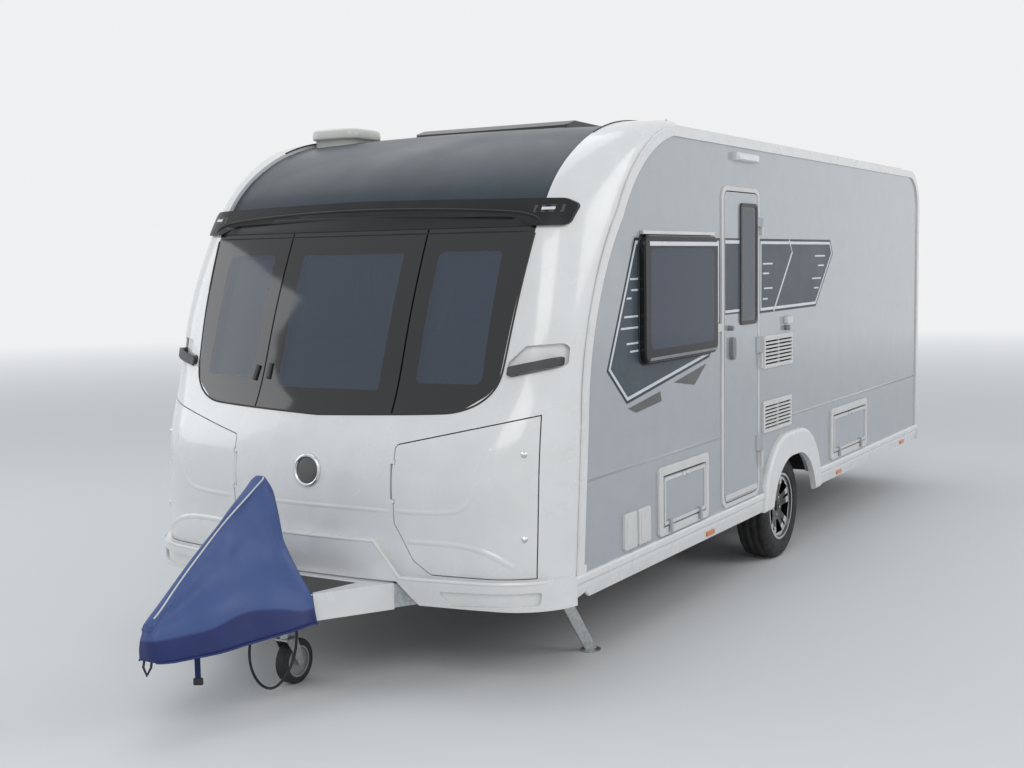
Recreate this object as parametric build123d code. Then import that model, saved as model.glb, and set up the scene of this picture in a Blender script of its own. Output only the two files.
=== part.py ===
from build123d import *
"""Single-axle touring caravan, parked on its wheels, jockey wheel and front corner steadies.

Millimetres. +X is the entrance door's side, -Y is the towing end, +Z is up from the ground.
The model is drawn with y = 0 at the road wheels' axle line; write() moves every piece by one
shift, so that the stored origin is the middle of the whole length, at ground level.
"""
from math import atan2, cos, degrees, hypot, pi, radians, sin, tan
import os

# Body shell
SIDE_X = 1143.0            # outer plane of the side walls
WALL_T = 30.0              # bonded wall, roof, front and rear panels
FLOOR_Z = 483.0            # underside of the floor and of the walls
FLOOR_T = 42.0
RAIL_Z = 2467.0            # top edge of the side walls
REAR_Y = 3014.0            # rear edge of the side walls
REAR_CORNER_R = 274.0
FRONT_FOOT_Y = -2775.0     # lower front corner of the side walls
TUCK = 20.0                # how far each shell's ribs start inside the side walls' outline
PANEL_GAP = 5.0            # seam round a door or hatch
SWING_GAP = 8.0            # the same at an edge that swings past its frame
SEAT = 0.3                 # clearance where one piece rests in another

# Road wheels
TYRE_R = 317.0
TYRE_W = 195.0
TYRE_OUTER_X = 1090.0
RIM_R = 203.0
STUB_R = 17.0
RUNNING = 0.05             # radial clearance of a wheel on its stub

# Chassis
MEMBER_X = 550.0
MEMBER_W = 50.0
MEMBER_BOTTOM = 345.0
AXLE_Y = -150.0            # the axle tube lies ahead of the wheels, on trailing arms
AXLE_FLAT = 100.0          # across the flats of the hexagonal tube
ARM_JOIN = (535.0, -2990.0)  # where the drawbar's arms meet the main members
ARM_TIP = (50.0, -3800.0)
ARM_W = 45.0
ARM_Z = (350.0, 455.0)
DRAW_Z = 410.0             # centre of the overrun tube
DRAW_R = 30.0

# Coupling and what stands on the drawbar
BALL_Y = -4080.0
BALL_R = 25.2              # socket for the standard 50 mm ball
BALL_Z = 430.0
COVER_FRONT_Y = -4190.0
COVER_T = 6.0
JOCKEY_X = 20.0
JOCKEY_Y = -3400.0
JOCKEY_TRAIL = 60.0
JOCKEY_R = 100.0
JOCKEY_W = 55.0
JOCKEY_TUBE_R = 24.0
REAR_BUMPER_Y = 3180.0

# Entrance door, in the wall's (y, z)
DOOR_FRAME = (-1130.0, -565.0, 488.0, 2218.0)
DOOR_RIM = 24.0            # width of the frame's visible face
DOOR_T = 32.0
DOOR_PROUD = 8.0
HINGE_X = SIDE_X + 24.0
HINGE_Y = -571.0
HINGE_R = 8.0
DOOR_WINDOW = (-870.0, -630.0, 1477.0, 2125.0)

# Service doors, in the wall's (y, z): name, y0, y1, z0, z1
SERVICE_DOORS = [
    ("service_door", -1950.0, -1330.0, 490.0, 830.0),
    ("cassette_door", 770.0, 1595.0, 495.0, 835.0),
]
SERVICE_RIM = 42.0
SERVICE_PROUD = 14.0
SERVICE_AXIS_OUT = 24.0    # the lower hinge's axis, out from the wall and up from the frame's foot
SERVICE_AXIS_UP = 16.0

# Side windows: side, y0, y1, z0, z1
SIDE_WINDOWS = [
    (1, -2150.0, -1255.0, 1350.0, 1950.0),
    (-1, -2150.0, -1255.0, 1350.0, 1950.0),
    (-1, -700.0, 300.0, 1440.0, 1950.0),
    (-1, 1500.0, 2500.0, 1400.0, 1950.0),
]
WINDOW_LAP = 40.0          # the pane laps the wall round its opening
WINDOW_PROUD = 38.0

# Ribs across the front: edge (y, z) at the side wall, middle (y, z), radius of the bow
FRONT_RIBS = [
    (-2775, 483, -3172, 483, 4500),
    (-2760, 640, -3185, 630, 4500),
    (-2745, 800, -3190, 770, 4500),
    (-2725, 1040, -3165, 1040, 4500),
    (-2700, 1235, -3075, 1225, 4200),
    (-2651, 1537, -2955, 1545, 5000),
    (-2513, 1813, -2795, 1930, 6500),
    (-2348, 2057, -2640, 2190, 7000),
    (-2201, 2238, -2430, 2350, 8000),
    (-2026, 2374, -2140, 2468, 14000),
    (-1850, 2445, -1830, 2526, 24000),
    (-1660, 2467, -1660, 2535, 30000),
]
# Rear: the middle of the panel stands this far behind the side walls, and bows less towards the roof
REAR_BOW = 111.0
REAR_BOW_R = 9000.0
ROOF_BOW_R = 30000.0
# Ribs of the front bumper
BUMPER_RIBS = [
    (-2790, 340, -3140, 340, 4500),
    (-2775, 483, -3172, 483, 4500),
    (-2760, 660, -3184, 660, 4500),
]
BUMPER_PROUD = 32.0
BROW_PROUD = 14.0
BUMPER_SEAT = 8.0

# Wheel arch's trim: half length, foot, top and radius of its rounded shoulders
ARCH_OUTER = (510.0, 367.0, 790.0, 400.0)
ARCH_INNER = (395.0, 200.0, 645.0, 345.0)
ARCH_LAP = 20.0            # the trim laps the wall's opening
ARCH_PROUD = 34.0
ARCH_EDGE_R = 20.0
WHEEL_BOX_X = 800.0
WHEEL_BOX_T = 12.0
WHEEL_BOX_TOP = 740.0
WHEEL_BOX_Y = (-420.0, 420.0)

# Openings in the wall
LAP = 6.0                  # a frame's flange laps its opening
DOOR_CORNER_R = 66.0
SERVICE_CORNER_R = 28.0
SERVICE_T = 24.0
PANE_T = 14.0
DOOR_GLASS_T = 6.0
PIN_GAP = 0.8
DOOR_HINGES = [(650, 830), (1210, 1390), (1960, 2056)]
DOOR_HANDLE = (-1000.0, 1290.0, 1410.0)
DOOR_CATCH = (-1040.0, 1462.0)
# Fridge vents: y0, y1, z0, z1
VENTS = [(-495.0, 0.0, 1198.0, 1387.0), (-500.0, -20.0, 826.0, 1010.0)]
VENT_LAP = 15.0
VENT_PROUD = 12.0
VENT_ROWS = 7
# Blank covers near the front: y0, y1, z0, z1
BLANKS = [(-2335.0, -2205.0, 500.0, 670.0), (-2185.0, -2055.0, 500.0, 670.0)]
BLANK_PROUD = 16.0
MARKER_Y = (-1310.0, 940.0, 2560.0)
AWNING_LAMP = (-965.0, -625.0, 2380.0)

# Mouldings
RAIL_OUT = 14.0
RAIL_IN = 36.0
RAIL_T = 10.0
SKIRT_Y = (-2830.0, 3000.0)
SKIRT_Z = 370.0

# Front face cut-outs: x, z, corner radius, each the +X half from the middle round to the middle
WINDOW_HALF = [(0, 1167, 2000), (705, 1196, 150), (858, 1292, 130), (917, 2001, 12), (800, 2042, 60),
               (0, 2062, 2000)]
PANE_X = 390.0             # seams between the three panes
PANE_GAP = 8.0
ROOF_PANEL_HALF_X = 926.0
ROOF_PANEL_FOOT_Z = 2062.0  # behind the brow
BROW_HALF = [(0, 2052, 2000), (800, 2030, 100), (905, 1992, 60), (1045, 1992, 25), (1062, 2085, 25),
             (1010, 2112, 60), (0, 2128, 2000)]
# The same in (x, z) alone
BUMPER_HALF = [(0, 467), (465, 467), (560, 365), (1200, 365), (1200, 490), (470, 490), (360, 646),
               (0, 646)]
LAMP_RECESS = [(645, 438), (717, 374), (1080, 392), (1088, 450)]
LAMP_RECESS_DEPTH = 14.0
# Locker opening and its door, outside the hinge line. The door's edge carries a barrel just below the
# curved outer face, by height and radius, and turns on pins in two lugs of the panel
LOCKER = [(450, 1059), (450, 718), (540, 560), (620, 500), (1090, 500), (1090, 1200)]
LOCKER_R = 24.0
LOCKER_HINGE = (450.0, -3157.65, 900.0)
LOCKER_LEAN = (0.0, 0.0704, 0.9975)
LOCKER_REACH = 642.0
LOCKER_BARREL = [(826.0, 5.6), (850.0, 7.4), (880.0, 8.6), (910.0, 9.1), (940.0, 8.4), (974.0, 5.8)]
LOCKER_LUG = (7.0, 15.0)    # past the hinge line, and along it
LOCKER_NOTCH = 13.0         # from the hinge line to the panel's edge beside the barrel
LOCKER_PIN_R = 3.0
LOCKER_PIN_REACH = 11.0
PIN_SIDE_GAP = 3.0
# Handle across each front corner: x0, x1, z0, z1 at its inner end, and the scoop behind it in (x, z)
GRAB = (900.0, 1090.0, 1352.0, 1392.0)
GRAB_RISE = 40.0
GRAB_OUT = 22.0
GRAB_T = 16.0
SCOOP = [(884, 1340), (1112, 1388), (1112, 1490), (960, 1478), (892, 1410)]
SCOOP_DEPTH = 20.0
SCOOP_R = 28.0

# Roof: the front moulding's side bands stand above the dark panel and the roof behind them
ROOF_SINK = 22.0
ROOF_MID_Z = FRONT_RIBS[-1][3] - ROOF_SINK
DOME_T = 14.0
ROOFLIGHT_DROP = 90.0      # how far a rooflight's frame reaches below the roof's middle
ROOFLIGHT_BASE = 150.0     # depth within which the roof trims a rooflight's frame
ROOFLIGHT_FILLET = 8.0
# Rooflights: x, y, width, length, height over the roof's middle, lip, fall to the rear
LARGE_ROOFLIGHT = (0.0, -1250.0, 960.0, 700.0, 57.0, 45.0, 20.0)
SMALL_ROOFLIGHT = (-770.0, -1830.0, 300.0, 300.0, 57.0, 24.0, 10.0)

# Rear: lamp column's x0, x1, z0, z1
REAR_LAMP = (950.0, 1110.0, 1270.0, 1960.0)
LAMP_PROUD = 30.0
REAR_BUMPER_OUT = 20.0
REAR_BUMPER_RIBS = [
    (3000, 370, 3150, 370, 9000),
    (3000, 470, 3160, 470, 9000),
    (3000, 590, 3150, 590, 9000),
]

# Chassis details
MEMBER_END_Y = 2950.0
CROSS_Y = (-2440.0, 2380.0)
CROSS_Z = (400.0, 455.0)
HOUSING_Y = (-3835.0, -3590.0)
CLAMP_FACE_Y = JOCKEY_Y - 32.0
CLAMP_BEAM = 40.0
FAIRING_T = 5.0
FAIRING_ALONG = (90.0, 270.0, 740.0)  # along the arm: cheeks start, plate starts, both end
ARM_X = (850.0, 872.0)
ARM_H = 84.0
STUB_END_X = 985.0
HUB_X = (902.0, 1000.0)
DRUM_R = 125.0
SPOKES = 5
# Jacking plate under each main member, behind the axle: y0, y1 and its thickness
JACK_PLATE = (230.0, 330.0, 8.0)
STEADY_X = 800.0
STEADY_DOWN = ((954.0, -2300.0, 4.0), (800.0, -2436.0, 410.0))
STEADY_UP = ((800.0, 1960.0, 383.0), (800.0, 2400.0, 383.0))
SOCKET_DEPTH = 40.0
LEVER = ((0.0, -3640.0, 470.0), (0.0, -3505.0, 900.0))
JOCKEY_TUBE_Z = (232.0, 585.0)
JOCKEY_PIN_R = 6.0
# Hitch cover's sections: y, then half width and height of the hem, the knee and the top
COVER_ROWS = [
    (COVER_FRONT_Y, 66, 335, 60, 420, 40, 500),
    (-4130.0, 112, 330, 84, 460, 38, 560),
    (-3800.0, 235, 335, 165, 490, 32, 775),
    (-3560.0, 322, 348, 236, 480, 30, 915),
    (-3520.0, 338, 350, 266, 476, 30, 945),
    (-3495.0, 302, 460.8, 240, 500, 30, 952),
    (-3430.0, 290, 460.8, 200, 520, 32, 850),
    (-3358.0, 285, 460.8, 190, 520, 60, 640),
]
# The towing electrics' lead, from its gland down and up to its parked plug
LEAD_D = 12.0
SOCKET_HALF = 19.0
LEAD_ROUTE = [
    (-50, -3530, 330), (-50, -3530, 262), (-46, -3560, 184), (-20, -3574, 106), (34, -3578, 52),
    (98, -3574, 46), (146, -3552, 96), (172, -3524, 168), (170, -3495, 248), (170, -3495, 330),
]

# Furniture
BENCH_X = 480.0
BENCH_Y = (-2600.0, -1300.0)
BENCH_H = 330.0
CHEST_H = 560.0
BULKHEAD_Y = (-2680.0, -2665.0)  # wall behind the front lockers
BULKHEAD_Z = 1120.0
SHELF_X = 1000.0
SHELF_Y = -2920.0

SHIFT_Y = -(COVER_FRONT_Y + REAR_BUMPER_Y) / 2


def polygon_face(points, radius=0.0):
    """Flat face from corner points, every corner rounded by one radius."""
    face = make_face(Polyline(*points, close=True))
    return fillet(face.vertices(), radius) if radius else face


def prism_x(points, x0, x1, radius=0.0):
    """(y, z) outline drawn out along X from x0 to x1."""
    return extrude(Pos(x0, 0, 0) * (Plane.YZ * polygon_face(points, radius)), x1 - x0)


def prism_y(points, y0, y1, radius=0.0):
    """(x, z) outline drawn out along Y from y0 to y1."""
    return extrude(Pos(0, y1, 0) * (Plane.XZ * polygon_face(points, radius)), y1 - y0)


def prism_z(points, z0, z1, radius=0.0):
    """(x, y) outline drawn out along Z from z0 to z1."""
    return extrude(Pos(0, 0, z0) * polygon_face(points, radius), z1 - z0)


def rectangle(a0, a1, b0, b1, grow=0.0):
    """Corner points of a rectangle, grown by one margin all round."""
    return [(a0 - grow, b0 - grow), (a1 + grow, b0 - grow), (a1 + grow, b1 + grow), (a0 - grow, b1 + grow)]


def block(x0, x1, y0, y1, z0, z1):
    """Box between two corners."""
    return Pos((x0 + x1) / 2, (y0 + y1) / 2, (z0 + z1) / 2) * Box(x1 - x0, y1 - y0, z1 - z0)


def rod(start, end, radius):
    """Cylinder between two points."""
    a, b = Vector(*start), Vector(*end)
    return extrude(Plane(origin=a, z_dir=b - a) * Circle(radius), (b - a).length)


def both(shape):
    """The shape and its mirror image on the other side."""
    return [shape, mirror(shape, Plane.YZ)]


def bow_line(width, depth, bow_r, corner_r, out):
    """Three arcs across a rib: a corner, the bow and the other corner, moved out by a distance."""
    reach = bow_r - corner_r
    nx, ny = (width - corner_r) / reach, (bow_r - depth) / reach
    half = atan2(ny, nx) / 2
    side = (width + out, 0)
    turn = (width - corner_r + (corner_r + out) * cos(half), (corner_r + out) * sin(half))
    join = (nx * (bow_r + out), depth - bow_r + ny * (bow_r + out))
    flip = [(-x, y) for x, y in (join, turn, side)]
    return [
        ThreePointArc(side, turn, join),
        ThreePointArc(join, (0, depth + out), flip[0]),
        ThreePointArc(*flip),
    ]


def rib_face(rib, out, inn):
    """Section of a bowed shell in the plane of one rib, between two offsets from its outer line."""
    edge_y, edge_z, mid_y, mid_z, bow_r = rib
    run = hypot(mid_y - edge_y, mid_z - edge_z)
    dy, dz = (mid_y - edge_y) / run, (mid_z - edge_z) / run
    depth = run + TUCK
    corner_r = (2 * bow_r * depth - depth ** 2 - SIDE_X ** 2) / (2 * (bow_r - SIDE_X))
    plane = Plane(
        origin=(0, edge_y - dy * TUCK, edge_z - dz * TUCK), x_dir=(1, 0, 0), z_dir=(0, -dz, dy)
    )
    outer = bow_line(SIDE_X, depth, bow_r, corner_r, out)
    inner = bow_line(SIDE_X, depth, bow_r, corner_r, inn)
    ends = [Line((s * (SIDE_X + out), 0), (s * (SIDE_X + inn), 0)) for s in (1, -1)]
    return plane * make_face(outer + inner + ends)


def rib_shell(ribs, out=0.0, inn=-WALL_T):
    """Curved shell through a table of ribs."""
    return loft([rib_face(rib, out, inn) for rib in ribs])


def side_outline():
    """Face of a side wall in (y, z): raked and rounded front, level rail, rounded rear top corner."""
    foot, chest = (FRONT_FOOT_Y, FLOOR_Z), (-2714, 1149)
    shoulder, rail = (-2348, 2057), (-1760, RAIL_Z)
    rear_c = REAR_Y - REAR_CORNER_R
    bend = REAR_CORNER_R * sin(radians(45))
    edges = [
        Line(foot, chest),
        ThreePointArc(chest, (-2625, 1605), shoulder),
        ThreePointArc(shoulder, (-2100, 2322), rail),
        Line(rail, (rear_c, RAIL_Z)),
        ThreePointArc((rear_c, RAIL_Z), (rear_c + bend, RAIL_Z - REAR_CORNER_R + bend),
                      (REAR_Y, RAIL_Z - REAR_CORNER_R)),
        Line((REAR_Y, RAIL_Z - REAR_CORNER_R), (REAR_Y, FLOOR_Z)),
        Line((REAR_Y, FLOOR_Z), foot),
    ]
    return make_face(edges)


def side_prism(x0, x1):
    """The side wall's outline drawn out along X."""
    return extrude(Pos(x0, 0, 0) * (Plane.YZ * side_outline()), x1 - x0)


def two_sided(half):
    """Closed outline from the rows of its +X half, listed from the middle round to the middle."""
    return half + [(-row[0], *row[1:]) for row in reversed(half) if row[0]]


def rounded_prism(half, y0, y1):
    """Two-sided (x, z, corner radius) outline drawn out along Y from y0 to y1."""
    rows = two_sided(half)
    outline = FilletPolyline(*[row[:2] for row in rows], radius=[row[2] for row in rows], close=True)
    return extrude(Pos(0, y1, 0) * (Plane.XZ * make_face(outline)), y1 - y0)


def inset(points, amount):
    """Corner points of an outline moved inwards by a distance."""
    face = offset(make_face(Polyline(*points, close=True)), -amount, kind=Kind.INTERSECTION).faces()[0]
    return [(e.position_at(0).X, e.position_at(0).Y) for e in face.outer_wire().order_edges()]


def locker_pieces(shell):
    """Locker door on hidden pins, and what is cut from the panel for it."""
    far, near = -3400, -2700
    axis = Plane(origin=LOCKER_HINGE, z_dir=LOCKER_LEAN)
    rows = [((z - LOCKER_HINGE[2]) / LOCKER_LEAN[2], radius) for z, radius in LOCKER_BARREL]
    foot, top = rows[0][0], rows[-1][0]
    half = Polyline((0, foot), *[(radius, height) for height, radius in rows], (0, top), close=True)
    barrel = axis * Pos(0, 0, 0) * revolve(Plane.XZ * make_face(half), Axis.Z)

    def pin(radius, reach):
        """Cylinder along the hinge line that passes the barrel at both ends."""
        return axis * Pos(0, 0, (foot + top) / 2) * Cylinder(radius, top - foot + 2 * reach)

    def swept(radius):
        """Cylinder about the hinge line, which limits the far edge."""
        return axis * Pos(0, 0, 0) * Cylinder(radius, 1600)

    hinge_x = LOCKER_HINGE[0]
    low_z, high_z = LOCKER_BARREL[0][0], LOCKER_BARREL[-1][0]
    lug_past, lug_length = LOCKER_LUG
    cut = prism_y(LOCKER, far, near, LOCKER_R) & swept(LOCKER_REACH)
    cut += block(hinge_x - LOCKER_NOTCH, hinge_x + PANEL_GAP, far, near, low_z - PIN_SIDE_GAP,
                 high_z + PIN_SIDE_GAP)
    leaf = shell & prism_y(inset(LOCKER, PANEL_GAP), far, near, LOCKER_R - PANEL_GAP)
    leaf &= swept(LOCKER_REACH - PANEL_GAP)
    for z0, z1 in ((low_z - PIN_SIDE_GAP - lug_length, low_z - PIN_SIDE_GAP),
                   (high_z + PIN_SIDE_GAP, high_z + PIN_SIDE_GAP + lug_length)):
        cut -= block(hinge_x - 1, hinge_x + lug_past, far, near, z0, z1)
        leaf -= block(0, hinge_x + lug_past + PIN_SIDE_GAP, far, near, z0 - PIN_SIDE_GAP, z1 + PIN_SIDE_GAP)
    leaf += barrel
    cut += pin(LOCKER_PIN_R + RUNNING, LOCKER_PIN_REACH + 1)
    return cut, leaf + pin(LOCKER_PIN_R, LOCKER_PIN_REACH)


def front_pieces():
    """Moulded front: shell, glazing, dark roof panel, brow, locker doors, bumper."""
    far, near = -3400, -2200
    whole = rib_shell(FRONT_RIBS) - side_prism(-SIDE_X - 50, SIDE_X + 50)
    cut, leaf = locker_pieces(whole)
    shell = whole - both(cut)
    brow = rib_shell(FRONT_RIBS, BROW_PROUD, -ROOF_SINK) & rounded_prism(BROW_HALF, far, near)
    shell -= brow
    scoop = rib_shell(FRONT_RIBS, PANEL_GAP, -SCOOP_DEPTH) & prism_y(SCOOP, far, near, SCOOP_R)
    shell -= both(scoop)
    window_cut = rounded_prism(WINDOW_HALF, far, -2600)
    glazing = shell & window_cut
    shell -= window_cut
    for x in (-PANE_X, PANE_X):
        glazing -= block(x - PANE_GAP / 2, x + PANE_GAP / 2, far, near, 1100, 2100)
    roof_cut = block(-ROOF_PANEL_HALF_X, ROOF_PANEL_HALF_X, -2900, -1600, ROOF_PANEL_FOOT_Z, 2700)
    shell -= roof_cut
    roof_panel = rib_shell(FRONT_RIBS, -ROOF_SINK, -ROOF_SINK - WALL_T) & roof_cut
    small_light, well = rooflight(SMALL_ROOFLIGHT, rib_shell(FRONT_RIBS, -ROOF_SINK, -ROOFLIGHT_BASE))
    roof_panel -= well
    small_light -= roof_panel
    brow -= roof_panel
    bumper = rib_shell(BUMPER_RIBS, BUMPER_PROUD, -BUMPER_SEAT)
    bumper &= prism_y(two_sided(BUMPER_HALF), -3500, -2700)
    bumper -= whole
    bumper -= block(-2000, 2000, SKIRT_Y[0] - 1, 0, 0, 3000)
    recess = rib_shell(BUMPER_RIBS, BUMPER_PROUD + PANEL_GAP, BUMPER_PROUD - LAMP_RECESS_DEPTH)
    bumper -= both(recess & prism_y(LAMP_RECESS, -3500, -2700, LAMP_RECESS_DEPTH))
    return shell, glazing, roof_panel, brow, both(leaf), bumper, small_light


def arch_prism(outline, x0, x1, grow=0.0):
    """Round-shouldered outline of the wheel arch, grown by a margin, drawn out along X."""
    half, foot, top, shoulder_r = outline
    arch = prism_x(rectangle(-half - grow, half + grow, foot, top + grow), x0, x1)
    return fillet(arch.edges().filter_by(Axis.X).group_by(Axis.Z)[-1], shoulder_r + grow)


def side_wall(side):
    """Bonded side panel with its windows, doors and wheel arch cut out."""
    x0, x1 = SIDE_X - WALL_T, SIDE_X
    wall = side_prism(x0, x1)
    wall -= arch_prism(ARCH_INNER, x0 - 5, x1 + 5, ARCH_LAP)
    for where, *area in SIDE_WINDOWS:
        if where == side:
            wall -= prism_x(rectangle(*area, -WINDOW_LAP), x0 - 5, x1 + 5, 50)
    if side < 0:
        return mirror(wall, Plane.YZ)
    wall -= prism_x(rectangle(*DOOR_FRAME, -LAP), x0 - 5, x1 + 5, DOOR_CORNER_R - LAP)
    for _, *area in SERVICE_DOORS:
        wall -= prism_x(rectangle(*area, -LAP), x0 - 5, x1 + 5, SERVICE_CORNER_R - LAP)
    for area in VENTS:
        wall -= prism_x(rectangle(*area, -VENT_LAP), x0 - 5, x1 + 5)
    return wall


def side_windows():
    """Bonded panes that stand proud of the wall and lap it round each opening."""
    panes = []
    for side, *area in SIDE_WINDOWS:
        pane = prism_x(rectangle(*area), SIDE_X, SIDE_X + WINDOW_PROUD, 55)
        outer = pane.faces().sort_by(Axis.X)[-1]
        pane = fillet(outer.edges(), 10)
        pane -= prism_x(rectangle(*area, -WINDOW_LAP), SIDE_X - 1, SIDE_X + WINDOW_PROUD - PANE_T, 40)
        panes.append(pane if side > 0 else mirror(pane, Plane.YZ))
    return panes


def ring(area, rim, corner_r, x_back, x_face, x_front):
    """Frame of an opening: a jamb through the wall and a flange that laps the wall's outer face."""
    hole = prism_x(rectangle(*area, -rim), x_back - 5, x_front + 5, corner_r - rim / 2)
    jamb = prism_x(rectangle(*area, -LAP - SEAT), x_back, x_face, corner_r - LAP)
    flange = prism_x(rectangle(*area), x_face, x_front, corner_r)
    flange = fillet(flange.faces().sort_by(Axis.X)[-1].edges(), (x_front - x_face) * 0.4)
    return jamb + flange - hole


def entrance_door():
    """Door frame, door leaf, its window, and the handle with the retainer's catch."""
    y0, y1, z0, z1 = DOOR_FRAME
    face_x = SIDE_X + DOOR_PROUD
    frame = ring(DOOR_FRAME, DOOR_RIM, DOOR_CORNER_R, SIDE_X - WALL_T, SIDE_X, face_x)
    leaf_area = (y0 + DOOR_RIM + SWING_GAP, y1 - DOOR_RIM - PANEL_GAP,
                 z0 + DOOR_RIM + PANEL_GAP, z1 - DOOR_RIM - PANEL_GAP)
    corner = DOOR_CORNER_R - DOOR_RIM / 2 - PANEL_GAP
    leaf = prism_x(rectangle(*leaf_area), face_x - DOOR_T, face_x, corner)
    leaf = fillet(leaf.faces().sort_by(Axis.X)[-1].edges(), 4)
    leaf -= prism_x(rectangle(*DOOR_WINDOW, -10), face_x - DOOR_T - 5, face_x + 5, 20)
    window = prism_x(rectangle(*DOOR_WINDOW), face_x, face_x + DOOR_GLASS_T, 26)
    window = fillet(window.faces().sort_by(Axis.X)[-1].edges(), 4)
    window += prism_x(rectangle(*DOOR_WINDOW, -10 - SEAT), face_x - DOOR_T, face_x, 20)
    for low, high in DOOR_HINGES:
        middle = (low + high) / 2
        lug_y = leaf_area[1] - 6
        leaf += Pos(HINGE_X, HINGE_Y, middle + PIN_GAP) * Cylinder(HINGE_R, high - middle - PIN_GAP,
                                                               align=(Align.CENTER, Align.CENTER, Align.MIN))
        leaf += block(face_x, face_x + 4, lug_y - 26, lug_y, middle + PIN_GAP, high)
        leaf += prism_z([(face_x, lug_y), (face_x + 4, lug_y - 6), (HINGE_X + HINGE_R * 0.7, HINGE_Y - 5),
                         (HINGE_X - 2, HINGE_Y)], middle + PIN_GAP, high)
        frame += Pos(HINGE_X, HINGE_Y, low) * Cylinder(HINGE_R, middle - low,
                                                       align=(Align.CENTER, Align.CENTER, Align.MIN))
        frame += block(face_x - 2, HINGE_X, HINGE_Y - 3, HINGE_Y + 3, low, middle)
        frame += block(face_x, face_x + 4, HINGE_Y - 3, y1 - 2, low, middle)
    handle_y, handle_z0, handle_z1 = DOOR_HANDLE
    handle = prism_x([(handle_y - 24, handle_z0), (handle_y + 24, handle_z0), (handle_y + 24, handle_z1),
                      (handle_y - 24, handle_z1)], face_x, face_x + 22, 22)
    handle = fillet(handle.faces().sort_by(Axis.X)[-1].edges(), 6)
    catch_y, catch_z = DOOR_CATCH
    catch = rod((face_x, catch_y, catch_z), (face_x + 30, catch_y, catch_z), 14)
    catch = fillet(catch.faces().sort_by(Axis.X)[-1].edges(), 6)
    return frame, leaf, window, [handle, catch]


def service_hatches():
    """Frames in the wall and bottom-hinged doors of the two service hatches."""
    frames, doors = [], {}
    face_x = SIDE_X + SERVICE_PROUD
    for name, *area in SERVICE_DOORS:
        y0, y1, z0, z1 = area
        frame = ring(area, SERVICE_RIM, SERVICE_CORNER_R, SIDE_X - WALL_T, SIDE_X, face_x)
        leaf_area = (y0 + SERVICE_RIM + PANEL_GAP, y1 - SERVICE_RIM - PANEL_GAP,
                     z0 + SERVICE_RIM + PANEL_GAP, z1 - SERVICE_RIM - SWING_GAP)
        leaf = prism_x(rectangle(*leaf_area), face_x - SERVICE_T, face_x - 2, SERVICE_CORNER_R / 2)
        lug_x, lug_z = SIDE_X + SERVICE_AXIS_OUT, z0 + SERVICE_AXIS_UP
        for along in (0.2, 0.8):
            y = y0 + (y1 - y0) * along
            leaf += rod((lug_x, y - 22, lug_z), (lug_x, y, lug_z), 6)
            leaf += block(lug_x - 6, lug_x + 6, y - 22, y, lug_z, leaf_area[2] + 12)
            leaf += block(face_x - 4, lug_x + 2, y - 22, y, leaf_area[2] + 2, leaf_area[2] + 30)
            frame += rod((lug_x, y + PIN_GAP, lug_z), (lug_x, y + 20, lug_z), 6)
            frame += block(face_x - 2, lug_x, y + PIN_GAP, y + 20, lug_z - 6, lug_z + 6)
        frames.append(frame)
        doors[name] = leaf
    return frames, doors


def wall_vents():
    """Louvred fridge vents and the two blank covers near the front."""
    pieces = []
    for y0, y1, z0, z1 in VENTS:
        vent = prism_x(rectangle(y0, y1, z0, z1), SIDE_X, SIDE_X + VENT_PROUD, 8)
        vent = fillet(vent.faces().sort_by(Axis.X)[-1].edges(), 4)
        pitch = (z1 - z0 - 40) / VENT_ROWS
        for row in range(VENT_ROWS):
            low = z0 + 20 + row * pitch
            slot = prism_x([(y0 + 20, low + 3), (y1 - 20, low + 3), (y1 - 20, low + pitch * 0.6),
                            (y0 + 20, low + pitch * 0.6)], SIDE_X - 1, SIDE_X + VENT_PROUD + 1)
            vent -= slot
        post_y = (y0 + y1) / 2
        vent += block(SIDE_X, SIDE_X + VENT_PROUD - 2, post_y - 6, post_y + 6, z0 + 10, z1 - 10)
        pieces.append(vent)
    for area in BLANKS:
        cover = prism_x(rectangle(*area), SIDE_X, SIDE_X + BLANK_PROUD, 14)
        pieces.append(fillet(cover.faces().sort_by(Axis.X)[-1].edges(), 6))
    return pieces


def edge_rails():
    """Moulding with the awning channel, along the front, top and rear edges of each side wall."""
    face = side_outline()
    band = offset(face, RAIL_OUT, kind=Kind.INTERSECTION) - offset(face, -RAIL_IN, kind=Kind.INTERSECTION)
    rail = extrude(Pos(SIDE_X, 0, 0) * (Plane.YZ * band), RAIL_T)
    rail -= block(SIDE_X - 5, SIDE_X + 50, FRONT_FOOT_Y + 60, REAR_Y - RAIL_IN, 0, FLOOR_Z + RAIL_IN + 40)
    rail -= block(SIDE_X - 5, SIDE_X + 50, -4000, 4000, 0, FLOOR_Z)
    return both(rail)


def skirt_band():
    """Lower moulding along one side, uncut."""
    x = SIDE_X
    profile = [(x - 12, FLOOR_Z), (x + 14, FLOOR_Z), (x + 20, 474), (x + 20, 452), (x + 11, 440),
               (x + 12, 424), (x + 3, SKIRT_Z), (x - 9, SKIRT_Z), (x - 1, 426), (x + 2, 462), (x - 12, 470)]
    return prism_y(profile, SKIRT_Y[0], SKIRT_Y[1])


def side_skirts():
    """Hollow lower moulding below each side wall, cut away at the wheel arch and at its front end."""
    x = SIDE_X
    skirt = skirt_band()
    skirt -= block(x - 50, x + 50, -ARCH_OUTER[0], ARCH_OUTER[0], 300, 500)
    skirt -= prism_x([(SKIRT_Y[0] - 5, 340), (SKIRT_Y[0] + 150, 340), (SKIRT_Y[0] + 150, SKIRT_Z),
                      (SKIRT_Y[0] + 110, 400), (SKIRT_Y[0] - 5, 380)], x - 50, x + 50)
    return both(skirt)


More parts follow.
